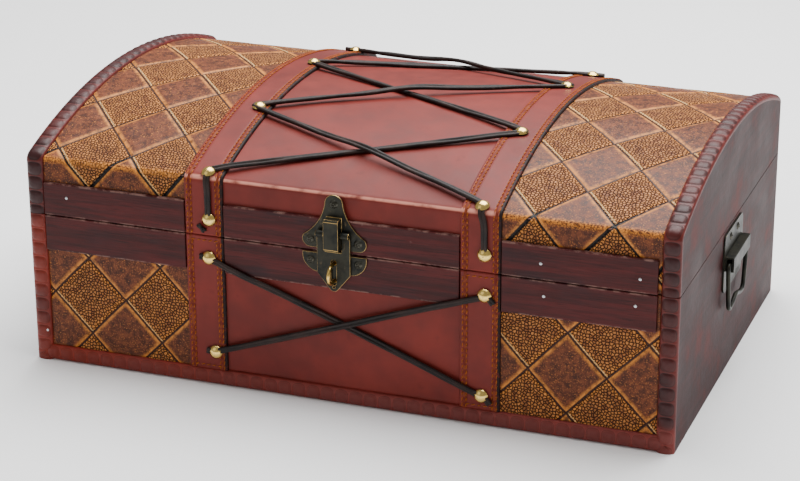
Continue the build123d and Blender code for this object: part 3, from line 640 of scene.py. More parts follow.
def add_layer(mesh, name, values):
    """A layer of flat coordinates, given per vertex."""
    layer = mesh.uv_layers.new(name=name)
    corners = np.empty(len(mesh.loops), dtype=np.int32)
    mesh.loops.foreach_get("vertex_index", corners)
    layer.data.foreach_set("uv", np.asarray(values, dtype=np.float32)[corners].ravel())


def grid_faces(columns, rows, first=0):
    """Faces of a grid whose points are stored row by row."""
    corner = np.arange((rows - 1) * columns).reshape(rows - 1, columns)[:, :-1].ravel() + first
    return np.stack((corner, corner + 1, corner + columns + 1, corner + columns), -1)


def spaced(start, end, step):
    return np.linspace(start, end, max(2, int(round((end - start) / step)) + 1))


def sheet(xs, ss, height, place, under=0.0):
    """A sheet on a surface with its edges turned down: vertices, faces, x and s of each."""
    xs = np.concatenate(([xs[0]], xs, [xs[-1]]))
    ss = np.concatenate(([ss[0]], ss, [ss[-1]]))
    x, s = np.meshgrid(xs, ss)
    off = height(x, s)
    off[0, :] = off[-1, :] = off[:, 0] = off[:, -1] = under
    vertices = place(x.ravel(), s.ravel(), off.ravel())
    return vertices, grid_faces(len(xs), len(ss)), x.ravel(), s.ravel()


def wave(x, s, size, turn):
    """A smooth unevenness between -1 and 1, for hand-made surfaces."""
    a = np.sin((x * math.cos(turn) + s * math.sin(turn)) / size + turn)
    b = np.sin((s * math.cos(turn * 1.7) - x * math.sin(turn)) / (size * 0.63) + 2.1 * turn)
    return 0.5 * (a + b)


def diamonds(x, s, start, width, height):
    """Coordinates in which every diamond is one unit square with its middle on whole numbers."""
    across = (x - start[0] + HAND_DRIFT * wave(x, s, 0.021, 0.7)) / width
    over = (s - start[1] + HAND_DRIFT * wave(x, s, 0.027, 1.9)) / height
    return across + over, across - over


def leather_height(x, s, start, width, height):
    """The leather's outside: puffed diamonds between grooves."""
    u, v = diamonds(x, s, start, width, height)
    edge_u = (0.5 - np.abs(u - np.round(u))) * DIAMOND_EDGE
    edge_v = (0.5 - np.abs(v - np.round(v))) * DIAMOND_EDGE
    groove = np.exp(-((edge_v / BROAD_GROOVE) ** 2)) + 0.8 * np.exp(-((edge_u / NARROW_GROOVE) ** 2))
    puff = PUFF_RISE * np.minimum(1.0, np.minimum(edge_u, edge_v) / PUFF_REACH)
    grain = 0.00004 * wave(x, s, 0.002, 2.6)
    return LEATHER_OFF + puff - GROOVE_DEPTH * np.minimum(1.0, groove) + grain


class CHEST_OT_leather(bpy.types.Operator):
    """Embossed diamond leather on the lid and the base"""

    bl_idname = "chest.leather"
    bl_label = "Diamond leather"

    def execute(self, context):
        looks = context.scene.chest_leather
        skin = finish_of("diamond_leather", diamond_leather, looks)
        width = looks.diamond_width
        left, right, whole = (-TRIM_X, -STRAP_X), (STRAP_X, TRIM_X), (-TRIM_X, TRIM_X)
        sheets = [
            ("lid", "left", left, LID_SPAN, on_lid),
            ("lid", "right", right, LID_SPAN, on_lid),
            ("base", "left", left, FRONT_SPAN, on_base_front),
            ("base", "right", right, FRONT_SPAN, on_base_front),
            ("base", "back", whole, BACK_SPAN, on_base_back),
        ]
        for body, part, x_span, s_span, place in sheets:
            node = body + "_leather_" + part
            start = DIAMOND_STARTS[body + "_" + part]
            height = looks.lid_height if body == "lid" else looks.base_height
            xs, ss = spaced(*x_span, looks.step), spaced(*s_span, looks.step)

            def shape(x, s):
                return leather_height(x, s, start, width, height)

            vertices, faces, x, s = sheet(xs, ss, shape, place)
            piece = new_piece("skin_" + node, vertices, faces, [skin], body, "diamond_leather", [node])
            add_layer(piece.data, "diamonds", np.stack(diamonds(x, s, start, width, height), -1))
            add_layer(piece.data, "spread", np.stack((x, s), -1))
        return {"FINISHED"}


# Distance between the red panels' points
PANEL_STEP_ACROSS = 0.0030
PANEL_STEP_ALONG = 0.0011


class CHEST_OT_panels(bpy.types.Operator):
    """Plain red leather between the straps"""

    bl_idname = "chest.panels"
    bl_label = "Red panels"

    def execute(self, context):
        looks = context.scene.chest_leather
        skin = finish_of("red_leather", red_leather, looks)
        panels = [("lid", LID_SPAN, on_lid), ("base", FRONT_SPAN, on_base_front)]

        def shape(x, s):
            return LEATHER_OFF + 0.00012 * wave(x, s, 0.013, 0.9) + 0.00005 * wave(x, s, 0.004, 2.2)

        for body, s_span, place in panels:
            node = body + "_panel"
            xs, ss = spaced(-STRAP_X, STRAP_X, PANEL_STEP_ACROSS), spaced(*s_span, PANEL_STEP_ALONG)
            vertices, faces, x, s = sheet(xs, ss, shape, place)
            piece = new_piece("skin_" + node, vertices, faces, [skin], body, "panel_leather", [node])
            add_layer(piece.data, "spread", np.stack((x, s), -1))
        return {"FINISHED"}


# A rod's thickness along it, as shares of its length and radius
ROD_SWELL = ((0.0, 0.35), (0.12, 0.85), (0.5, 1.0), (0.88, 0.85), (1.0, 0.35))


def ring_faces(rings, sides):
    """Faces between rings of points, stored ring by ring."""
    faces = []
    for ring in range(rings - 1):
        for number in range(sides):
            a = ring * sides + number
            b = ring * sides + (number + 1) % sides
            faces.append((a, b, b + sides, a + sides))
    return faces


def capped(rings, sides):
    """Faces between rings, and over both ends."""
    last = (rings - 1) * sides
    ends = [tuple(range(sides - 1, -1, -1)), tuple(range(last, last + sides))]
    return ring_faces(rings, sides) + ends


def rod(start, end, radius, sides=6):
    """A short thread with rounded ends, as vertices and faces."""
    start, end = Vector(start), Vector(end)
    run = (end - start).normalized()
    side = run.orthogonal().normalized()
    up = run.cross(side)
    vertices = []
    for share, swell in ROD_SWELL:
        middle = start.lerp(end, share)
        for number in range(sides):
            turn = 2 * math.pi * number / sides
            vertices.append(middle + (side * math.cos(turn) + up * math.sin(turn)) * radius * swell)
    return vertices, capped(len(ROD_SWELL), sides)


def joined(parts):
    """Several meshes' vertices and faces as one."""
    vertices, faces = [], []
    for more_vertices, more_faces in parts:
        first = len(vertices)
        vertices.extend(more_vertices)
        faces.extend(tuple(first + corner for corner in face) for face in more_faces)
    return vertices, faces


# Straps, their ridges and their stitches
STRAP_HALF = (STRAP_OUT - STRAP_IN) / 2
STRAP_STEP = 0.00045
STRAP_STEP_ALONG = 0.0012
PAINT_MARK = 1
RIDGE_MARK = 2
EDGE_REACH = 0.0008
EDGE_DROP = 0.0008
PAINT_WIDTH = 0.0019
RIDGE_IN = 0.0034
RIDGE_HALF = 0.0011
RIDGE_RISE = 0.00045
CREASE_IN = 0.0052
CREASE_HALF = 0.0006
CREASE_DEPTH = 0.0002
STITCH_PITCH = 0.0038
STITCH_LENGTH = 0.0026
STITCH_SHIFT = 0.0014
STITCH_LEAN = 0.0004
STITCH_RADIUS = 0.00045
STITCH_OFF = STRAP_OFF + 0.00018
CROSS_PITCH = 0.0040
CROSS_LEAN = 0.0008
CROSS_OFF = STRAP_OFF + 0.00012
CROSS_ROWS = (SEAM - 0.0030, FOOT + 0.0028)


def strap_height(across):
    """A strap's outside: flat, rounded off at its edges, with a ridge and a crease near each."""
    inside = STRAP_HALF - np.abs(across)
    ridge = np.exp(-(((inside - RIDGE_IN) / RIDGE_HALF) ** 4))
    fall = np.clip(inside / EDGE_REACH, 0.0, 1.0) ** 0.5
    crease = np.exp(-(((inside - CREASE_IN) / CREASE_HALF) ** 2))
    return STRAP_OFF - EDGE_DROP * (1 - fall) + RIDGE_RISE * ridge - CREASE_DEPTH * crease


def strap_stitches(middle, s_span, place, cross_rows):
    """Rods for both double rows along a strap, and for the rows across it."""
    stitches = []

    def sew(x, s, half_x, half_s, off):
        ends = np.array((x - half_x, x + half_x)), np.array((s - half_s, s + half_s))
        stitches.append(rod(*place(*ends, np.array((off, off))), STITCH_RADIUS))

    count = int((s_span[1] - s_span[0]) / STITCH_PITCH)
    for side in (-1, 1):
        for shift in (-STITCH_SHIFT, STITCH_SHIFT):
            across = side * (STRAP_HALF - RIDGE_IN + shift)
            for number in range(count):
                s = s_span[0] + (number + 0.5) * STITCH_PITCH
                sew(middle + across, s, STITCH_LEAN / 2, STITCH_LENGTH / 2, STITCH_OFF)
    for row in cross_rows:
        for number in range(-2, 3):
            sew(middle + number * CROSS_PITCH, row, STITCH_LENGTH / 2, CROSS_LEAN / 2, CROSS_OFF)
    return joined(stitches)


def strap_piece(name, middle, s_span, place, body, nodes, looks, cross_rows=()):
    """One strap with its ridges, its painted edge and its rows of stitches."""
    skin = finish_of("red_leather", red_leather, looks)
    paint = finish_of("strap_edge", painted_edge, looks)
    thread = finish_of("stitch_thread", stitch_thread, looks)
    ridge = finish_of("tan_ridge", tan_ridge, looks)
    xs = spaced(middle - STRAP_HALF, middle + STRAP_HALF, STRAP_STEP)
    ss = spaced(*s_span, STRAP_STEP_ALONG)

    def shape(x, s):
        return strap_height(x - middle) + 0.00008 * wave(x, s, 0.009, 1.3)

    vertices, faces, x, s = sheet(xs, ss, shape, place, LEATHER_OFF)
    piece = new_piece("strap_" + name, vertices, faces, [skin, paint, ridge], body, "panel_leather", nodes)
    add_layer(piece.data, "spread", np.stack((x, s), -1))
    marks = np.zeros(len(faces), dtype=np.int32)
    inside = STRAP_HALF - np.abs(x[faces[:, 0]] - middle)
    marks[np.abs(inside - RIDGE_IN) < RIDGE_HALF * 0.8] = RIDGE_MARK
    columns = len(xs) + 2
    painted = int(PAINT_WIDTH / STRAP_STEP)
    marks[faces[:, 0] % columns >= columns - 2 - painted] = PAINT_MARK
    piece.data.polygons.foreach_set("material_index", marks)
    vertices, faces = strap_stitches(middle, s_span, place, cross_rows)
    new_piece("stitches_" + name, vertices, faces, [thread], body, "panel_leather")


class CHEST_OT_straps(bpy.types.Operator):
    """Stitched straps over the lid and down the base"""

    bl_idname = "chest.straps"
    bl_label = "Straps"

    def execute(self, context):
        looks = context.scene.chest_leather
        for side, sign in (("left", -1), ("right", 1)):
            middle = sign * STRAP_X
            lid, front = ["lid_strap_" + side], ["base_strap_" + side]
            back = ["base_straps_back"] if sign > 0 else []
            strap_piece("lid_" + side, middle, LID_SPAN, on_lid, "lid", lid, looks)
            strap_piece("base_" + side, middle, FRONT_SPAN, on_base_front, "base", front, looks, CROSS_ROWS)
            strap_piece("back_" + side, middle, BACK_SPAN, on_base_back, "base", back, looks)
        return {"FINISHED"}


def soft_block(low, high, bevel, segments=3):
    """A board with rounded edges: vertices and faces."""
    mesh = bmesh.new()
    bmesh.ops.create_cube(mesh, size=1.0)
    low, high = Vector(low), Vector(high)
    for vertex in mesh.verts:
        vertex.co = Vector(low[i] + (vertex.co[i] + 0.5) * (high[i] - low[i]) for i in range(3))
    edges = list(mesh.edges)
    bmesh.ops.bevel(
        mesh, geom=edges, offset=bevel, segments=segments, profile=0.5, affect="EDGES", clamp_overlap=True
    )
    mesh.verts.index_update()
    vertices = [tuple(vertex.co) for vertex in mesh.verts]
    faces = [tuple(vertex.index for vertex in face.verts) for face in mesh.faces]
    mesh.free()
    return vertices, faces


# Bands: how round their edges are, and where they meet the leather
BAND_ROUND = 0.0006
BAND_UNDER = LEATHER_OFF - 0.0006


class CHEST_OT_bands(bpy.types.Operator):
    """Wooden bands along both sides of the seam"""

    bl_idname = "chest.bands"
    bl_label = "Bands"

    def execute(self, context):
        looks = context.scene.chest_wood
        wood = finish_of("band_wood", band_wood, looks)
        for body, low, high in (("base", BAND_LOW, SEAM), ("lid", LID_LOW, LID_BAND_TOP)):
            backs = []
            for part in ("left", "centre", "right"):
                node = body + "_band_" + part
                corner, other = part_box(node)
                front = (corner.x, -(HALF_Y + BAND_OFF), low), (other.x, -(HALF_Y + BAND_UNDER), high)
                vertices, faces = soft_block(*front, BAND_ROUND)
                self.add("wood_" + node, vertices, faces, wood, body, [node], low, high)
                back = (corner.x, HALF_Y + BAND_UNDER, low), (other.x, HALF_Y + BAND_OFF, high)
                backs.append(soft_block(*back, BAND_ROUND))
            vertices, faces = joined(backs)
            node = body + "_bands_back"
            self.add("wood_" + node, vertices, faces, wood, body, [node], low, high)
        return {"FINISHED"}

    def add(self, name, vertices, faces, wood, body, nodes, low, high):
        piece = new_piece(name, vertices, faces, [wood], body, "band_wood", nodes, smooth=False)
        spots = np.asarray(vertices)
        add_layer(piece.data, "level", np.stack((spots[:, 0], (spots[:, 2] - low) / (high - low)), -1))


# Moulding: its width, the foot's height as a share of it, and its shape
TRIM_WIDTH = HALF_X - TRIM_X
FOOT_SHARE = FOOT / TRIM_WIDTH
TRIM_STEP = 0.0005
TRIM_COLUMNS = 21
STRIP_EDGE = 0.40
STRIP_CROWN = 0.58
BEAD_ALONG = 0.46
BEAD_ACROSS = 0.84
BEAD_FOOT = 1.08
BEAD_FLANK = 0.36
RIDGE_BETWEEN = 0.0004
RIDGE_SHARE = 0.035


def bead_height(along, across, pitch, rise):
    """The moulding's outside: a rounded strip with soft square beads and a thin ridge between."""
    beat = along / pitch - np.round(along / pitch)
    spread = ((np.abs(beat) / BEAD_ALONG) ** 3 + (np.abs(across) / BEAD_ACROSS) ** 3) ** (1 / 3)
    pad = np.clip((BEAD_FOOT - spread) / BEAD_FLANK, 0.0, 1.0)
    pad = pad * pad * (3 - 2 * pad)
    crown = 1 - np.clip(spread, 0, 1) ** 2
    ridge = np.exp(-(((0.5 - np.abs(beat)) / RIDGE_SHARE) ** 2)) * (1 - across**6)
    strip = STRIP_OFF * (STRIP_EDGE + STRIP_CROWN * np.sqrt(np.maximum(0.0, 1 - across**4)))
    off = strip + rise * (0.25 * pad + 0.75 * crown * pad) + RIDGE_BETWEEN * ridge * (1 - pad)
    return off, pad


def moulding(name, span, place, looks, body, nodes, cuts, start, middle):
    """A beaded strip along a span, its beads counted from start, cut square or mitred."""
    wood = finish_of("bead_wood", bead_wood, looks)
    alongs = spaced(*span, TRIM_STEP)
    acrosses = np.concatenate(([-1.0], np.linspace(-1.0, 1.0, TRIM_COLUMNS), [1.0]))
    alongs = np.concatenate(([alongs[0]], alongs, [alongs[-1]]))
    across, along = np.meshgrid(acrosses, alongs)
    off, pad = bead_height(along - start, across, looks.bead_pitch, looks.bead_rise)
    off[0, :] = off[-1, :] = off[:, 0] = off[:, -1] = 0.0
    vertices = place(along.ravel(), middle + across.ravel() * TRIM_WIDTH / 2, off.ravel())
    faces = grid_faces(len(acrosses), len(alongs))
    piece = new_piece(name, vertices, faces, [wood], body, "trim_wood", nodes)
    rise = piece.data.attributes.new("rise", "FLOAT", "POINT")
    rise.data.foreach_set("value", pad.ravel().astype(np.float32))
    if cuts:
        mesh = bmesh.new()
        mesh.from_mesh(piece.data)
        for spot, out in cuts:
            every = list(mesh.verts) + list(mesh.edges) + list(mesh.faces)
            plane = {"plane_co": spot, "plane_no": out}
            bmesh.ops.bisect_plane(mesh, geom=every, dist=1e-7, clear_outer=True, **plane)
        mesh.to_mesh(piece.data)
        mesh.free()


def along_lid(along, across, off):
    return on_lid(across, along, off)


def up_front(along, across, off):
    return on_base_front(across, along, off)


def up_back(along, across, off):
    return on_base_back(across, along, off)


def along_foot(along, across, off):
    return on_base_front(along, across * FOOT_SHARE, off)


def along_back_foot(along, across, off):
    return on_base_back(along, -across * FOOT_SHARE, off)


class CHEST_OT_moulding(bpy.types.Operator):
    """Beaded moulding along the ends and the foot"""

    bl_idname = "chest.moulding"
    bl_label = "Beaded moulding"

    def execute(self, context):
        looks = context.scene.chest_wood
        first = SEAM - looks.bead_pitch / 2
        foot_cuts = []
        for side, sign in (("left", -1), ("right", 1)):
            middle = sign * (HALF_X - TRIM_WIDTH / 2)
            corner = Vector((sign * HALF_X, 0, 0))
            cut = [(corner, Vector((sign * FOOT_SHARE, 0, -1)).normalized())]
            foot_cuts.append((corner, Vector((sign, 0, TRIM_WIDTH / FOOT)).normalized()))
            strips = [
                ("beads_lid_" + side, LID_SPAN, along_lid, "lid", ["lid_trim_" + side], (), 0.0),
                ("beads_front_" + side, (0.0, SEAM), up_front, "base", ["base_trim_" + side], cut, first),
                ("beads_back_" + side, (-SEAM, 0.0), up_back, "base", [], cut, -SEAM),
            ]
            for name, span, place, body, nodes, cuts, start in strips:
                moulding(name, span, place, looks, body, nodes, cuts, start, middle)
        feet = [
            ("beads_foot", along_foot, "base_trim_foot"),
            ("beads_foot_back", along_back_foot, "base_trims_back"),
        ]
        for name, place, node in feet:
            moulding(name, (-HALF_X, HALF_X), place, looks, "base", [node], foot_cuts, 0.0, TRIM_WIDTH / 2)
        return {"FINISHED"}


def arc_at(y):
    """Distance over the lid, from the crown, to a nail at y."""
    return DOME_RADIUS * math.asin(y / (DOME_RADIUS + STRAP_OFF))


def up_front_at(z):
    """Distance over the lid, from the crown, to a place on its front at z."""
    return -(ARC_END + SHOULDER - z)


def where_lines_cross(a0, a1, b0, b1):
    """Where along the chest two straight runs of lace cross."""
    slope_a = (a1[1] - a0[1]) / (a1[0] - a0[0])
    slope_b = (b1[1] - b0[1]) / (b1[0] - b0[0])
    return (b0[1] - a0[1] + slope_a * a0[0] - slope_b * b0[0]) / (slope_a - slope_b)


def smooth_route(name, spots, step=0.0011):
    """Evenly spaced points along one smooth curve that a lace's places lead."""
    curve = bpy.data.curves.new(name, "CURVE")
    curve.dimensions = "3D"
    curve.resolution_u = 20
    spline = curve.splines.new("NURBS")
    spline.points.add(len(spots) - 1)
    for point, spot in zip(spline.points, spots):
        point.co = (spot[0], spot[1], 0.0, 1.0)
    spline.order_u = 3
    spline.use_endpoint_u = True
    holder = bpy.data.objects.new(name, curve)
    mesh = bpy.data.meshes.new_from_object(holder)
    points = np.array([vertex.co[:2] for vertex in mesh.vertices])
    bpy.data.objects.remove(holder)
    bpy.data.curves.remove(curve)
    bpy.data.meshes.remove(mesh)
    length = np.concatenate(([0.0], np.cumsum(np.hypot(*np.diff(points, axis=0).T))))
    even = np.linspace(0.0, length[-1], int(length[-1] / step) + 2)
    return np.interp(even, length, points[:, 0]), np.interp(even, length, points[:, 1])


def softened(values, reach):
    """A running mean that keeps the ends."""
    padded = np.concatenate((np.full(reach, values[0]), values, np.full(reach, values[-1])))
    weights = np.hanning(2 * reach + 3)[1:-1]
    return np.convolve(padded, weights / weights.sum(), "valid")


def lace_piece(name, spots, place, under, hump_x, over, leather, body):
    """A folded lace laid over what is under it, with a low hump where it crosses another."""
    x, s = smooth_route(name, spots)
    cover = under(x, s, 0.0 if over else LACE_SAG)
    hump = CROSS_HUMP if over else 0.0
    off = softened(np.maximum(softened(cover, COVER_REACH), cover), LACE_REACH) + LACE_HALF
    for spot in hump_x:
        off = off + hump * np.exp(-(((x - spot) / HUMP_REACH) ** 2))
    middle = place(x, s, off)
    above = place(x, s, off + 0.001)
    up = above - middle
    up /= np.linalg.norm(up, axis=1)[:, None]
    run = np.gradient(middle, axis=0)
    run /= np.linalg.norm(run, axis=1)[:, None]
    side = np.cross(run, up)
    side /= np.linalg.norm(side, axis=1)[:, None]
    up = np.cross(side, run)
    count = np.arange(len(x))
    lean = SLOW_ROLL[0] * np.sin(count * SLOW_ROLL[1] + len(name))
    lean = lean + QUICK_ROLL[0] * np.sin(count * QUICK_ROLL[1])
    tilt_side = side * np.cos(lean)[:, None] + up * np.sin(lean)[:, None]
    tilt_up = up * np.cos(lean)[:, None] - side * np.sin(lean)[:, None]
    rings = [middle + tilt_side * a + tilt_up * b for a, b in LACE_SECTION]
    vertices = np.stack(rings, 1).reshape(-1, 3)
    faces = capped(len(x), len(LACE_SECTION))
    new_piece(name, vertices, faces, [leather], body, "lace_leather", [name.replace("cord_", "")])


def lid_under(x, s, sag):
    """Where a taut lace's underside runs on the lid, sagging between the straps."""
    return STRAP_OFF - sag * np.maximum(0.0, 1.0 - (x / STRAP_IN) ** 2)


def base_under(x, s, sag):
    """Where a taut lace's underside runs on the base's front, over the band too."""
    on_band = np.clip((s - (BAND_LOW - LACE_CLIMB)) / LACE_CLIMB, 0.0, 1.0) * (np.abs(x) < STRAP_IN)
    return np.maximum(lid_under(x, s, sag), LEATHER_OFF + (BAND_OFF - LEATHER_OFF) * on_band)


class CHEST_OT_laces(bpy.types.Operator):
    """Laces from nail to nail over the lid, and crossed on the base"""

    bl_idname = "chest.laces"
    bl_label = "Laces"

    def execute(self, context):
        leather = finish_of("lace_leather", lace_leather, context.scene.chest_leather)
        left = [DOME_NAILS["left_" + str(number)] for number in range(1, 5)]
        right = [DOME_NAILS["right_" + str(number)] for number in range(1, 5)]
        left = [(x, arc_at(y)) for x, y in left]
        right = [(x, arc_at(y)) for x, y in right]
        path_a = [left[0], right[1], left[2], right[3]]
        path_b = [right[0], left[1], right[2], left[3]]
        crossings = []
        for number in range(3):
            runs = *path_a[number : number + 2], *path_b[number : number + 2]
            crossings.append(where_lines_cross(*runs))
        self.over_lid("cord_lid_lace_a", LID_FRONT_NAILS["left_0"], path_a, crossings, False, leather)
        self.over_lid("cord_lid_lace_b", LID_FRONT_NAILS["right_0"], path_b, crossings, True, leather)
        down = (BASE_NAILS["high_left"], BASE_NAILS["low_right"])
        up = (BASE_NAILS["low_left"], BASE_NAILS["high_right"])
        crossing = where_lines_cross(*down, *up)
        self.over_front("cord_base_lace_a", down, crossing, False, leather)
        self.over_front("cord_base_lace_b", up, crossing, True, leather)
        return {"FINISHED"}

    def over_lid(self, name, front_nail, stops, crossings, over, leather):
        x, z = front_nail
        spots = [
            (x, up_front_at(z - BELOW_NAIL)),
            (x, up_front_at(z + ABOVE_NAIL)),
            (x, -ARC_END - BELOW_SHOULDER),
        ]
        spots += self.beside(stops[0], FIRST_TURN)
        for stop in stops[1:-1]:
            spots += self.beside(stop, [(NAIL_TURN_OUT, -NAIL_TURN_STEP), (NAIL_TURN_OUT, NAIL_TURN_STEP)])
        spots += self.beside(stops[-1], LAST_TURN)
        lace_piece(name, spots, on_lid, lid_under, crossings, over, leather, "lid")

    def beside(self, nail, steps):
        """Places beside a nail of the dome, given as steps outward and over."""
        side = -1 if nail[0] < 0 else 1
        return [(nail[0] + side * out, nail[1] + on) for out, on in steps]

    def over_front(self, name, ends, crossing, over, leather):
        (x0, z0), (x1, z1) = ends
        spots = [(x0 + along, z0 + up) for along, up in BASE_LACE_START]
        spots += [(x1 + along, z1 + up) for along, up in BASE_LACE_END]
        lace_piece(name, spots, on_base_front, base_under, [crossing], over, leather, "base")


def dress(nodes, material):
    """Gives CAD pieces a material."""
    for node in nodes:
        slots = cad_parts[node].data.materials
        slots.clear()
        slots.append(material)


class CHEST_OT_woodwork(bpy.types.Operator):
    """End boards, hidden boards and linings"""

    bl_idname = "chest.woodwork"
    bl_label = "Woodwork"

    def execute(self, context):
        looks = context.scene.chest_wood
        ends = ["base_left_end", "base_right_end", "lid_left_end", "lid_right_end"]
        boards = ["base_front_board", "base_back_board", "base_floor", "lid_front_rail", "lid_back_rail"]
        dress(ends, finish_of("end_wood", end_wood, looks))
        dress(boards + ["lid_top_board"], finish_of("plain_wood", plain_wood, looks))
        dress(["base_lining", "lid_lining"], finish_of("lining_cloth", lining_cloth, looks))
        return {"FINISHED"}


def wear_edges(node, face, edge, width):
    """Rounds a metal piece's edges and gives the rounding a worn material."""
    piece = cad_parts[node]
    piece.data.materials.clear()
    piece.data.materials.append(face)
    piece.data.materials.append(edge)
    weld = piece.modifiers.new("weld", "WELD")
    weld.merge_threshold = 1e-6
    bevel = piece.modifiers.new("worn_edges", "BEVEL")
    bevel.width = width
    bevel.segments = 2
    bevel.limit_method = "ANGLE"
    bevel.angle_limit = math.radians(40)
    bevel.material = 1


class CHEST_OT_fittings(bpy.types.Operator):
    """Hasp, staple, handles, hinges and nails"""

    bl_idname = "chest.fittings"
    bl_label = "Fittings"

    def execute(self, context):
        looks = context.scene.chest_metal
        dark = bronze(looks)
        rubbed = brass("rubbed_brass", looks.rubbed, looks.bronze, 0.30, 0.9)
        for node in ("hasp_plate", "catch_plate", "hasp_flap", "handle_plate_left", "handle_plate_right"):
            wear_edges(node, dark, rubbed, looks.edge)
        for node in ("hinge_lower_leaves", "hinge_upper_leaves"):
            wear_edges(node, dark, rubbed, looks.edge * 0.5)
        dress(["hasp_pin", "hinge_pins", "bail_left", "bail_right"], dark)
        dress(["staple"], brass("staple_brass", tone(222, 186, 104), looks.bronze, 0.22, 0.4))
        dress(["base_nails", "lid_nails"], brass("nail_brass", looks.nail, tone(150, 128, 84), 0.16, 0.35))
        return {"FINISHED"}


# Screw heads and their crossed recesses
SCREW_RADIUS = 0.0028
SCREW_RISE = 0.0013
SCREW_SIDES = 64
SCREW_RINGS = 16
RIM_DROP = 0.0002
RECESS_HALF = 0.00035
RECESS_REACH = 0.0016
RECESS_DEPTH = 0.0009
SCREW_SEED = 11


def screw_head():
    """A cross-recess screw head around the origin, facing up: vertices and faces."""
    vertices, faces = [], []
    ball = (SCREW_RADIUS**2 + SCREW_RISE**2) / (2 * SCREW_RISE)
    for ring in range(SCREW_RINGS + 1):
        radius = SCREW_RADIUS * math.sin(0.5 * math.pi * ring / SCREW_RINGS)
        for number in range(SCREW_SIDES):
            turn = 2 * math.pi * number / SCREW_SIDES
            x, y = radius * math.cos(turn), radius * math.sin(turn)
            z = math.sqrt(max(0.0, ball**2 - radius**2)) - ball + SCREW_RISE
            if ring == SCREW_RINGS:
                z = -RIM_DROP
            slot = min(abs(x), abs(y)) < RECESS_HALF and max(abs(x), abs(y)) < RECESS_REACH
            vertices.append((x, y, z - (RECESS_DEPTH if slot else 0.0)))
    for ring in range(SCREW_RINGS):
        for number in range(SCREW_SIDES):
            a = ring * SCREW_SIDES + number
            b = ring * SCREW_SIDES + (number + 1) % SCREW_SIDES
            if ring == 0:
                faces.append((a + SCREW_SIDES, b + SCREW_SIDES, 0))
            else:
                faces.append((a, a + SCREW_SIDES, b + SCREW_SIDES, b))
    return vertices, faces


# Small pins on the front, along the chest and up, and a loose end of lace
BRAD_RADIUS = 0.0011
BRAD_RISE = 0.0005
LID_BRADS = [(-0.1935, 0.1193), (0.1338, 0.1169), (0.1973, 0.1151)]
BASE_BRADS = [(0.1361, 0.0952), (0.1948, 0.0969)]
TRIM_BRAD = (-0.2134, 0.0217)
BAND_BRAD_OFF = BAND_OFF - 0.0001
TRIM_BRAD_OFF = STRIP_OFF + 0.0004
LOOSE_OFF = STRAP_OFF + 0.0010
LOOSE_LOW = ((-0.0992, 0.1128), (-0.0925, 0.1096), 0.0013, LOOSE_OFF)
LOOSE_HIGH = ((-0.0972, 0.1142), (-0.0942, 0.1082), 0.0012, LOOSE_OFF + 0.0006)


def brad(spot_x, spot_z, off, sides=20, rings=5):
    """A small domed pin head on the front, as vertices and faces."""
    vertices = []
    for ring in range(rings):
        turn = 0.5 * math.pi * ring / (rings - 1)
        for number in range(sides):
            way = 2 * math.pi * number / sides
            reach = BRAD_RADIUS * math.cos(turn * 0.96)
            x, z = spot_x + reach * math.cos(way), spot_z + reach * math.sin(way)
            vertices.append((x, -(HALF_Y + off + BRAD_RISE * math.sin(turn)), z))
    return vertices, ring_faces(rings, sides) + [tuple(range((rings - 1) * sides, rings * sides))]


class CHEST_OT_brads(bpy.types.Operator):
    """Small silver pin heads of the bands and the moulding, and a loose lace end"""

    bl_idname = "chest.brads"
    bl_label = "Small pins"

    def execute(self, context):
        silver = brass("pin_silver", tone(196, 198, 200), tone(120, 122, 126), 0.25, 0.4)
        on_lid_bands = [brad(x, z, BAND_BRAD_OFF) for x, z in LID_BRADS]
        new_piece("brads_lid", *joined(on_lid_bands), [silver], "lid", "nail_brass")
        on_base = [brad(x, z, BAND_BRAD_OFF) for x, z in BASE_BRADS] + [brad(*TRIM_BRAD, TRIM_BRAD_OFF)]
        new_piece("brads_base", *joined(on_base), [silver], "base", "nail_brass")
        leather = finish_of("lace_leather", lace_leather, context.scene.chest_leather)
        ends = []
        for (x0, z0), (x1, z1), radius, off in (LOOSE_LOW, LOOSE_HIGH):
            depth = -(HALF_Y + off)
            ends.append(rod((x0, depth, z0), (x1, depth, z1), radius, 10))
        new_piece("loose_lace_end", *joined(ends), [leather], "lid", "lace_leather")
        return {"FINISHED"}


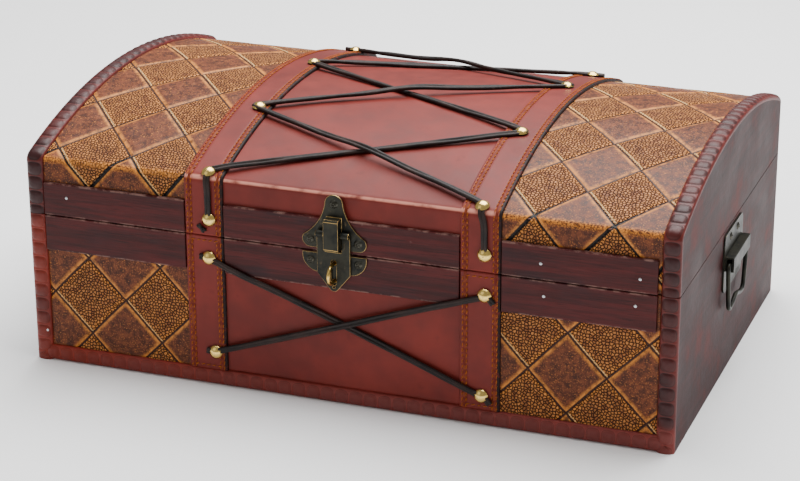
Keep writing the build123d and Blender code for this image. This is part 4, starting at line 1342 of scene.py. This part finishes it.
class CHEST_OT_screws(bpy.types.Operator):
    """Cross-recess screws of the hasp, handles and hinges"""

    bl_idname = "chest.screws"
    bl_label = "Screws"

    def execute(self, context):
        metal = finish_of("screw_bronze", self.finish, context.scene.chest_metal)
        chance = random.Random(SCREW_SEED)
        head = screw_head()
        for node, body in (("base_screws", "base"), ("lid_screws", "lid"), ("handle_screws", "base")):
            heads = []
            for spot, out in self.seats(node):
                turn = Matrix.Rotation(chance.uniform(0, math.pi / 2), 4, "Z")
                seat = Matrix.Translation(spot) @ out.to_track_quat("Z", "Y").to_matrix().to_4x4() @ turn
                heads.append(([seat @ Vector(vertex) for vertex in head[0]], head[1]))
            vertices, faces = joined(heads)
            new_piece("heads_" + node, vertices, faces, [metal], body, "screw_bronze", [node])
        return {"FINISHED"}

    def finish(self, looks):
        return brass("screw_bronze", tone(74, 72, 64), looks.bronze, 0.30, 0.6)

    def seats(self, node):
        """Middle of each screw head's seat and the way it faces, from the node's separate solids."""
        mesh = bmesh.new()
        mesh.from_mesh(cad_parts[node].data)
        bmesh.ops.remove_doubles(mesh, verts=mesh.verts, dist=1e-6)
        waiting = set(mesh.verts)
        seats = []
        while waiting:
            stack = [waiting.pop()]
            island = list(stack)
            while stack:
                for edge in stack.pop().link_edges:
                    for vertex in edge.verts:
                        if vertex in waiting:
                            waiting.remove(vertex)
                            stack.append(vertex)
                            island.append(vertex)
            spots = np.array([vertex.co[:] for vertex in island])
            low, high = spots.min(0), spots.max(0)
            middle = (low + high) / 2
            size = high - low
            axis = int(np.argmax(size))
            sign = 1.0 if middle[axis] > 0 else -1.0
            out = Vector((0.0, 0.0, 0.0))
            out[axis] = sign
            seat = Vector(middle)
            seat[axis] = (high[axis] if sign > 0 else low[axis]) - sign * SCREW_RISE
            seats.append((seat, out))
        mesh.free()
        seats.sort(key=lambda seat: tuple(seat[0]))
        return seats


class CHEST_OT_stage(bpy.types.Operator):
    """Floor, lights and camera"""

    bl_idname = "chest.stage"
    bl_label = "Stage"

    def execute(self, context):
        looks = context.scene.chest_stage
        scene = context.scene
        made = Finish("pale_floor", {"Roughness": 0.9, "Base Color": looks.floor})
        mesh = bpy.data.meshes.new("floor")
        corners = [(x * FLOOR_REACH, y * FLOOR_REACH, 0) for x, y in ((-1, -1), (1, -1), (1, 1), (-1, 1))]
        mesh.from_pydata(corners, [], [(0, 1, 2, 3)])
        mesh.materials.append(made.material)
        floor = bpy.data.objects.new("floor", mesh)
        scene.collection.objects.link(floor)
        world = bpy.data.worlds.new("even_light")
        scene.world = world
        world.use_nodes = True
        sky = world.node_tree.nodes["Background"].inputs
        sky["Color"].default_value = (1.0, 1.0, 1.0, 1.0)
        sky["Strength"].default_value = looks.sky
        self.lamp("overhead", OVERHEAD_SPOT, OVERHEAD_SIZE, looks.overhead)
        self.lamp("front", FRONT_SPOT, FRONT_SIZE, looks.front)
        self.camera(scene)
        return {"FINISHED"}

    def camera(self, scene):
        """The camera at the photograph's angle."""
        back = Vector(CAMERA_BACK).normalized()
        side = Vector((0, 0, 1)).cross(back).normalized()
        up = back.cross(side)
        turned_side = side * math.cos(CAMERA_ROLL) + up * math.sin(CAMERA_ROLL)
        turned_up = up * math.cos(CAMERA_ROLL) - side * math.sin(CAMERA_ROLL)
        camera = bpy.data.objects.new("camera", bpy.data.cameras.new("camera"))
        camera.data.lens = CAMERA_LENS
        camera.data.sensor_width = CAMERA_SENSOR
        camera.data.clip_end = CAMERA_FAR
        turn = Matrix((turned_side, turned_up, back)).transposed().to_4x4()
        camera.matrix_world = Matrix.Translation(CAMERA_SPOT) @ turn
        scene.collection.objects.link(camera)
        scene.camera = camera

    def lamp(self, name, spot, size, power):
        """A square lamp aimed at the chest."""
        lamp = bpy.data.lights.new(name, "AREA")
        lamp.size = size
        lamp.energy = power
        holder = bpy.data.objects.new(name, lamp)
        holder.location = spot
        holder.rotation_euler = (Vector(LAMP_AIM) - Vector(spot)).to_track_quat("-Z", "Y").to_euler()
        bpy.context.scene.collection.objects.link(holder)


OPERATORS = (
    CHEST_OT_stage,
    CHEST_OT_woodwork,
    CHEST_OT_leather,
    CHEST_OT_panels,
    CHEST_OT_straps,
    CHEST_OT_bands,
    CHEST_OT_moulding,
    CHEST_OT_laces,
    CHEST_OT_fittings,
    CHEST_OT_screws,
    CHEST_OT_brads,
)
SETTINGS = {
    "chest_leather": LeatherSettings,
    "chest_wood": WoodSettings,
    "chest_metal": MetalSettings,
    "chest_stage": StageSettings,
}


class CHEST_PT_panel(bpy.types.Panel):
    """Builds the chest's pieces one by one"""

    bl_label = "Treasure Chest"
    bl_space_type = "VIEW_3D"
    bl_region_type = "UI"
    bl_category = "Chest"

    def draw(self, context):
        for name, group in SETTINGS.items():
            box = self.layout.box()
            for key in group.__annotations__:
                box.prop(getattr(context.scene, name), key)
        for operator in OPERATORS:
            self.layout.operator(operator.bl_idname)


def register():
    for group in SETTINGS.values():
        bpy.utils.register_class(group)
    for operator in OPERATORS:
        bpy.utils.register_class(operator)
    bpy.utils.register_class(CHEST_PT_panel)
    for name, group in SETTINGS.items():
        setattr(bpy.types.Scene, name, PointerProperty(type=group))


def unregister():
    for name in SETTINGS:
        delattr(bpy.types.Scene, name)
    bpy.utils.unregister_class(CHEST_PT_panel)
    for group in (*OPERATORS, *SETTINGS.values()):
        bpy.utils.unregister_class(group)


def main():
    register()
    bpy.ops.chest.stage()
    bpy.ops.chest.woodwork()
    bpy.ops.chest.leather()
    bpy.ops.chest.panels()
    bpy.ops.chest.straps()
    bpy.ops.chest.bands()
    bpy.ops.chest.moulding()
    bpy.ops.chest.laces()
    bpy.ops.chest.fittings()
    bpy.ops.chest.screws()
    bpy.ops.chest.brads()


if __name__ == "__main__":
    main()
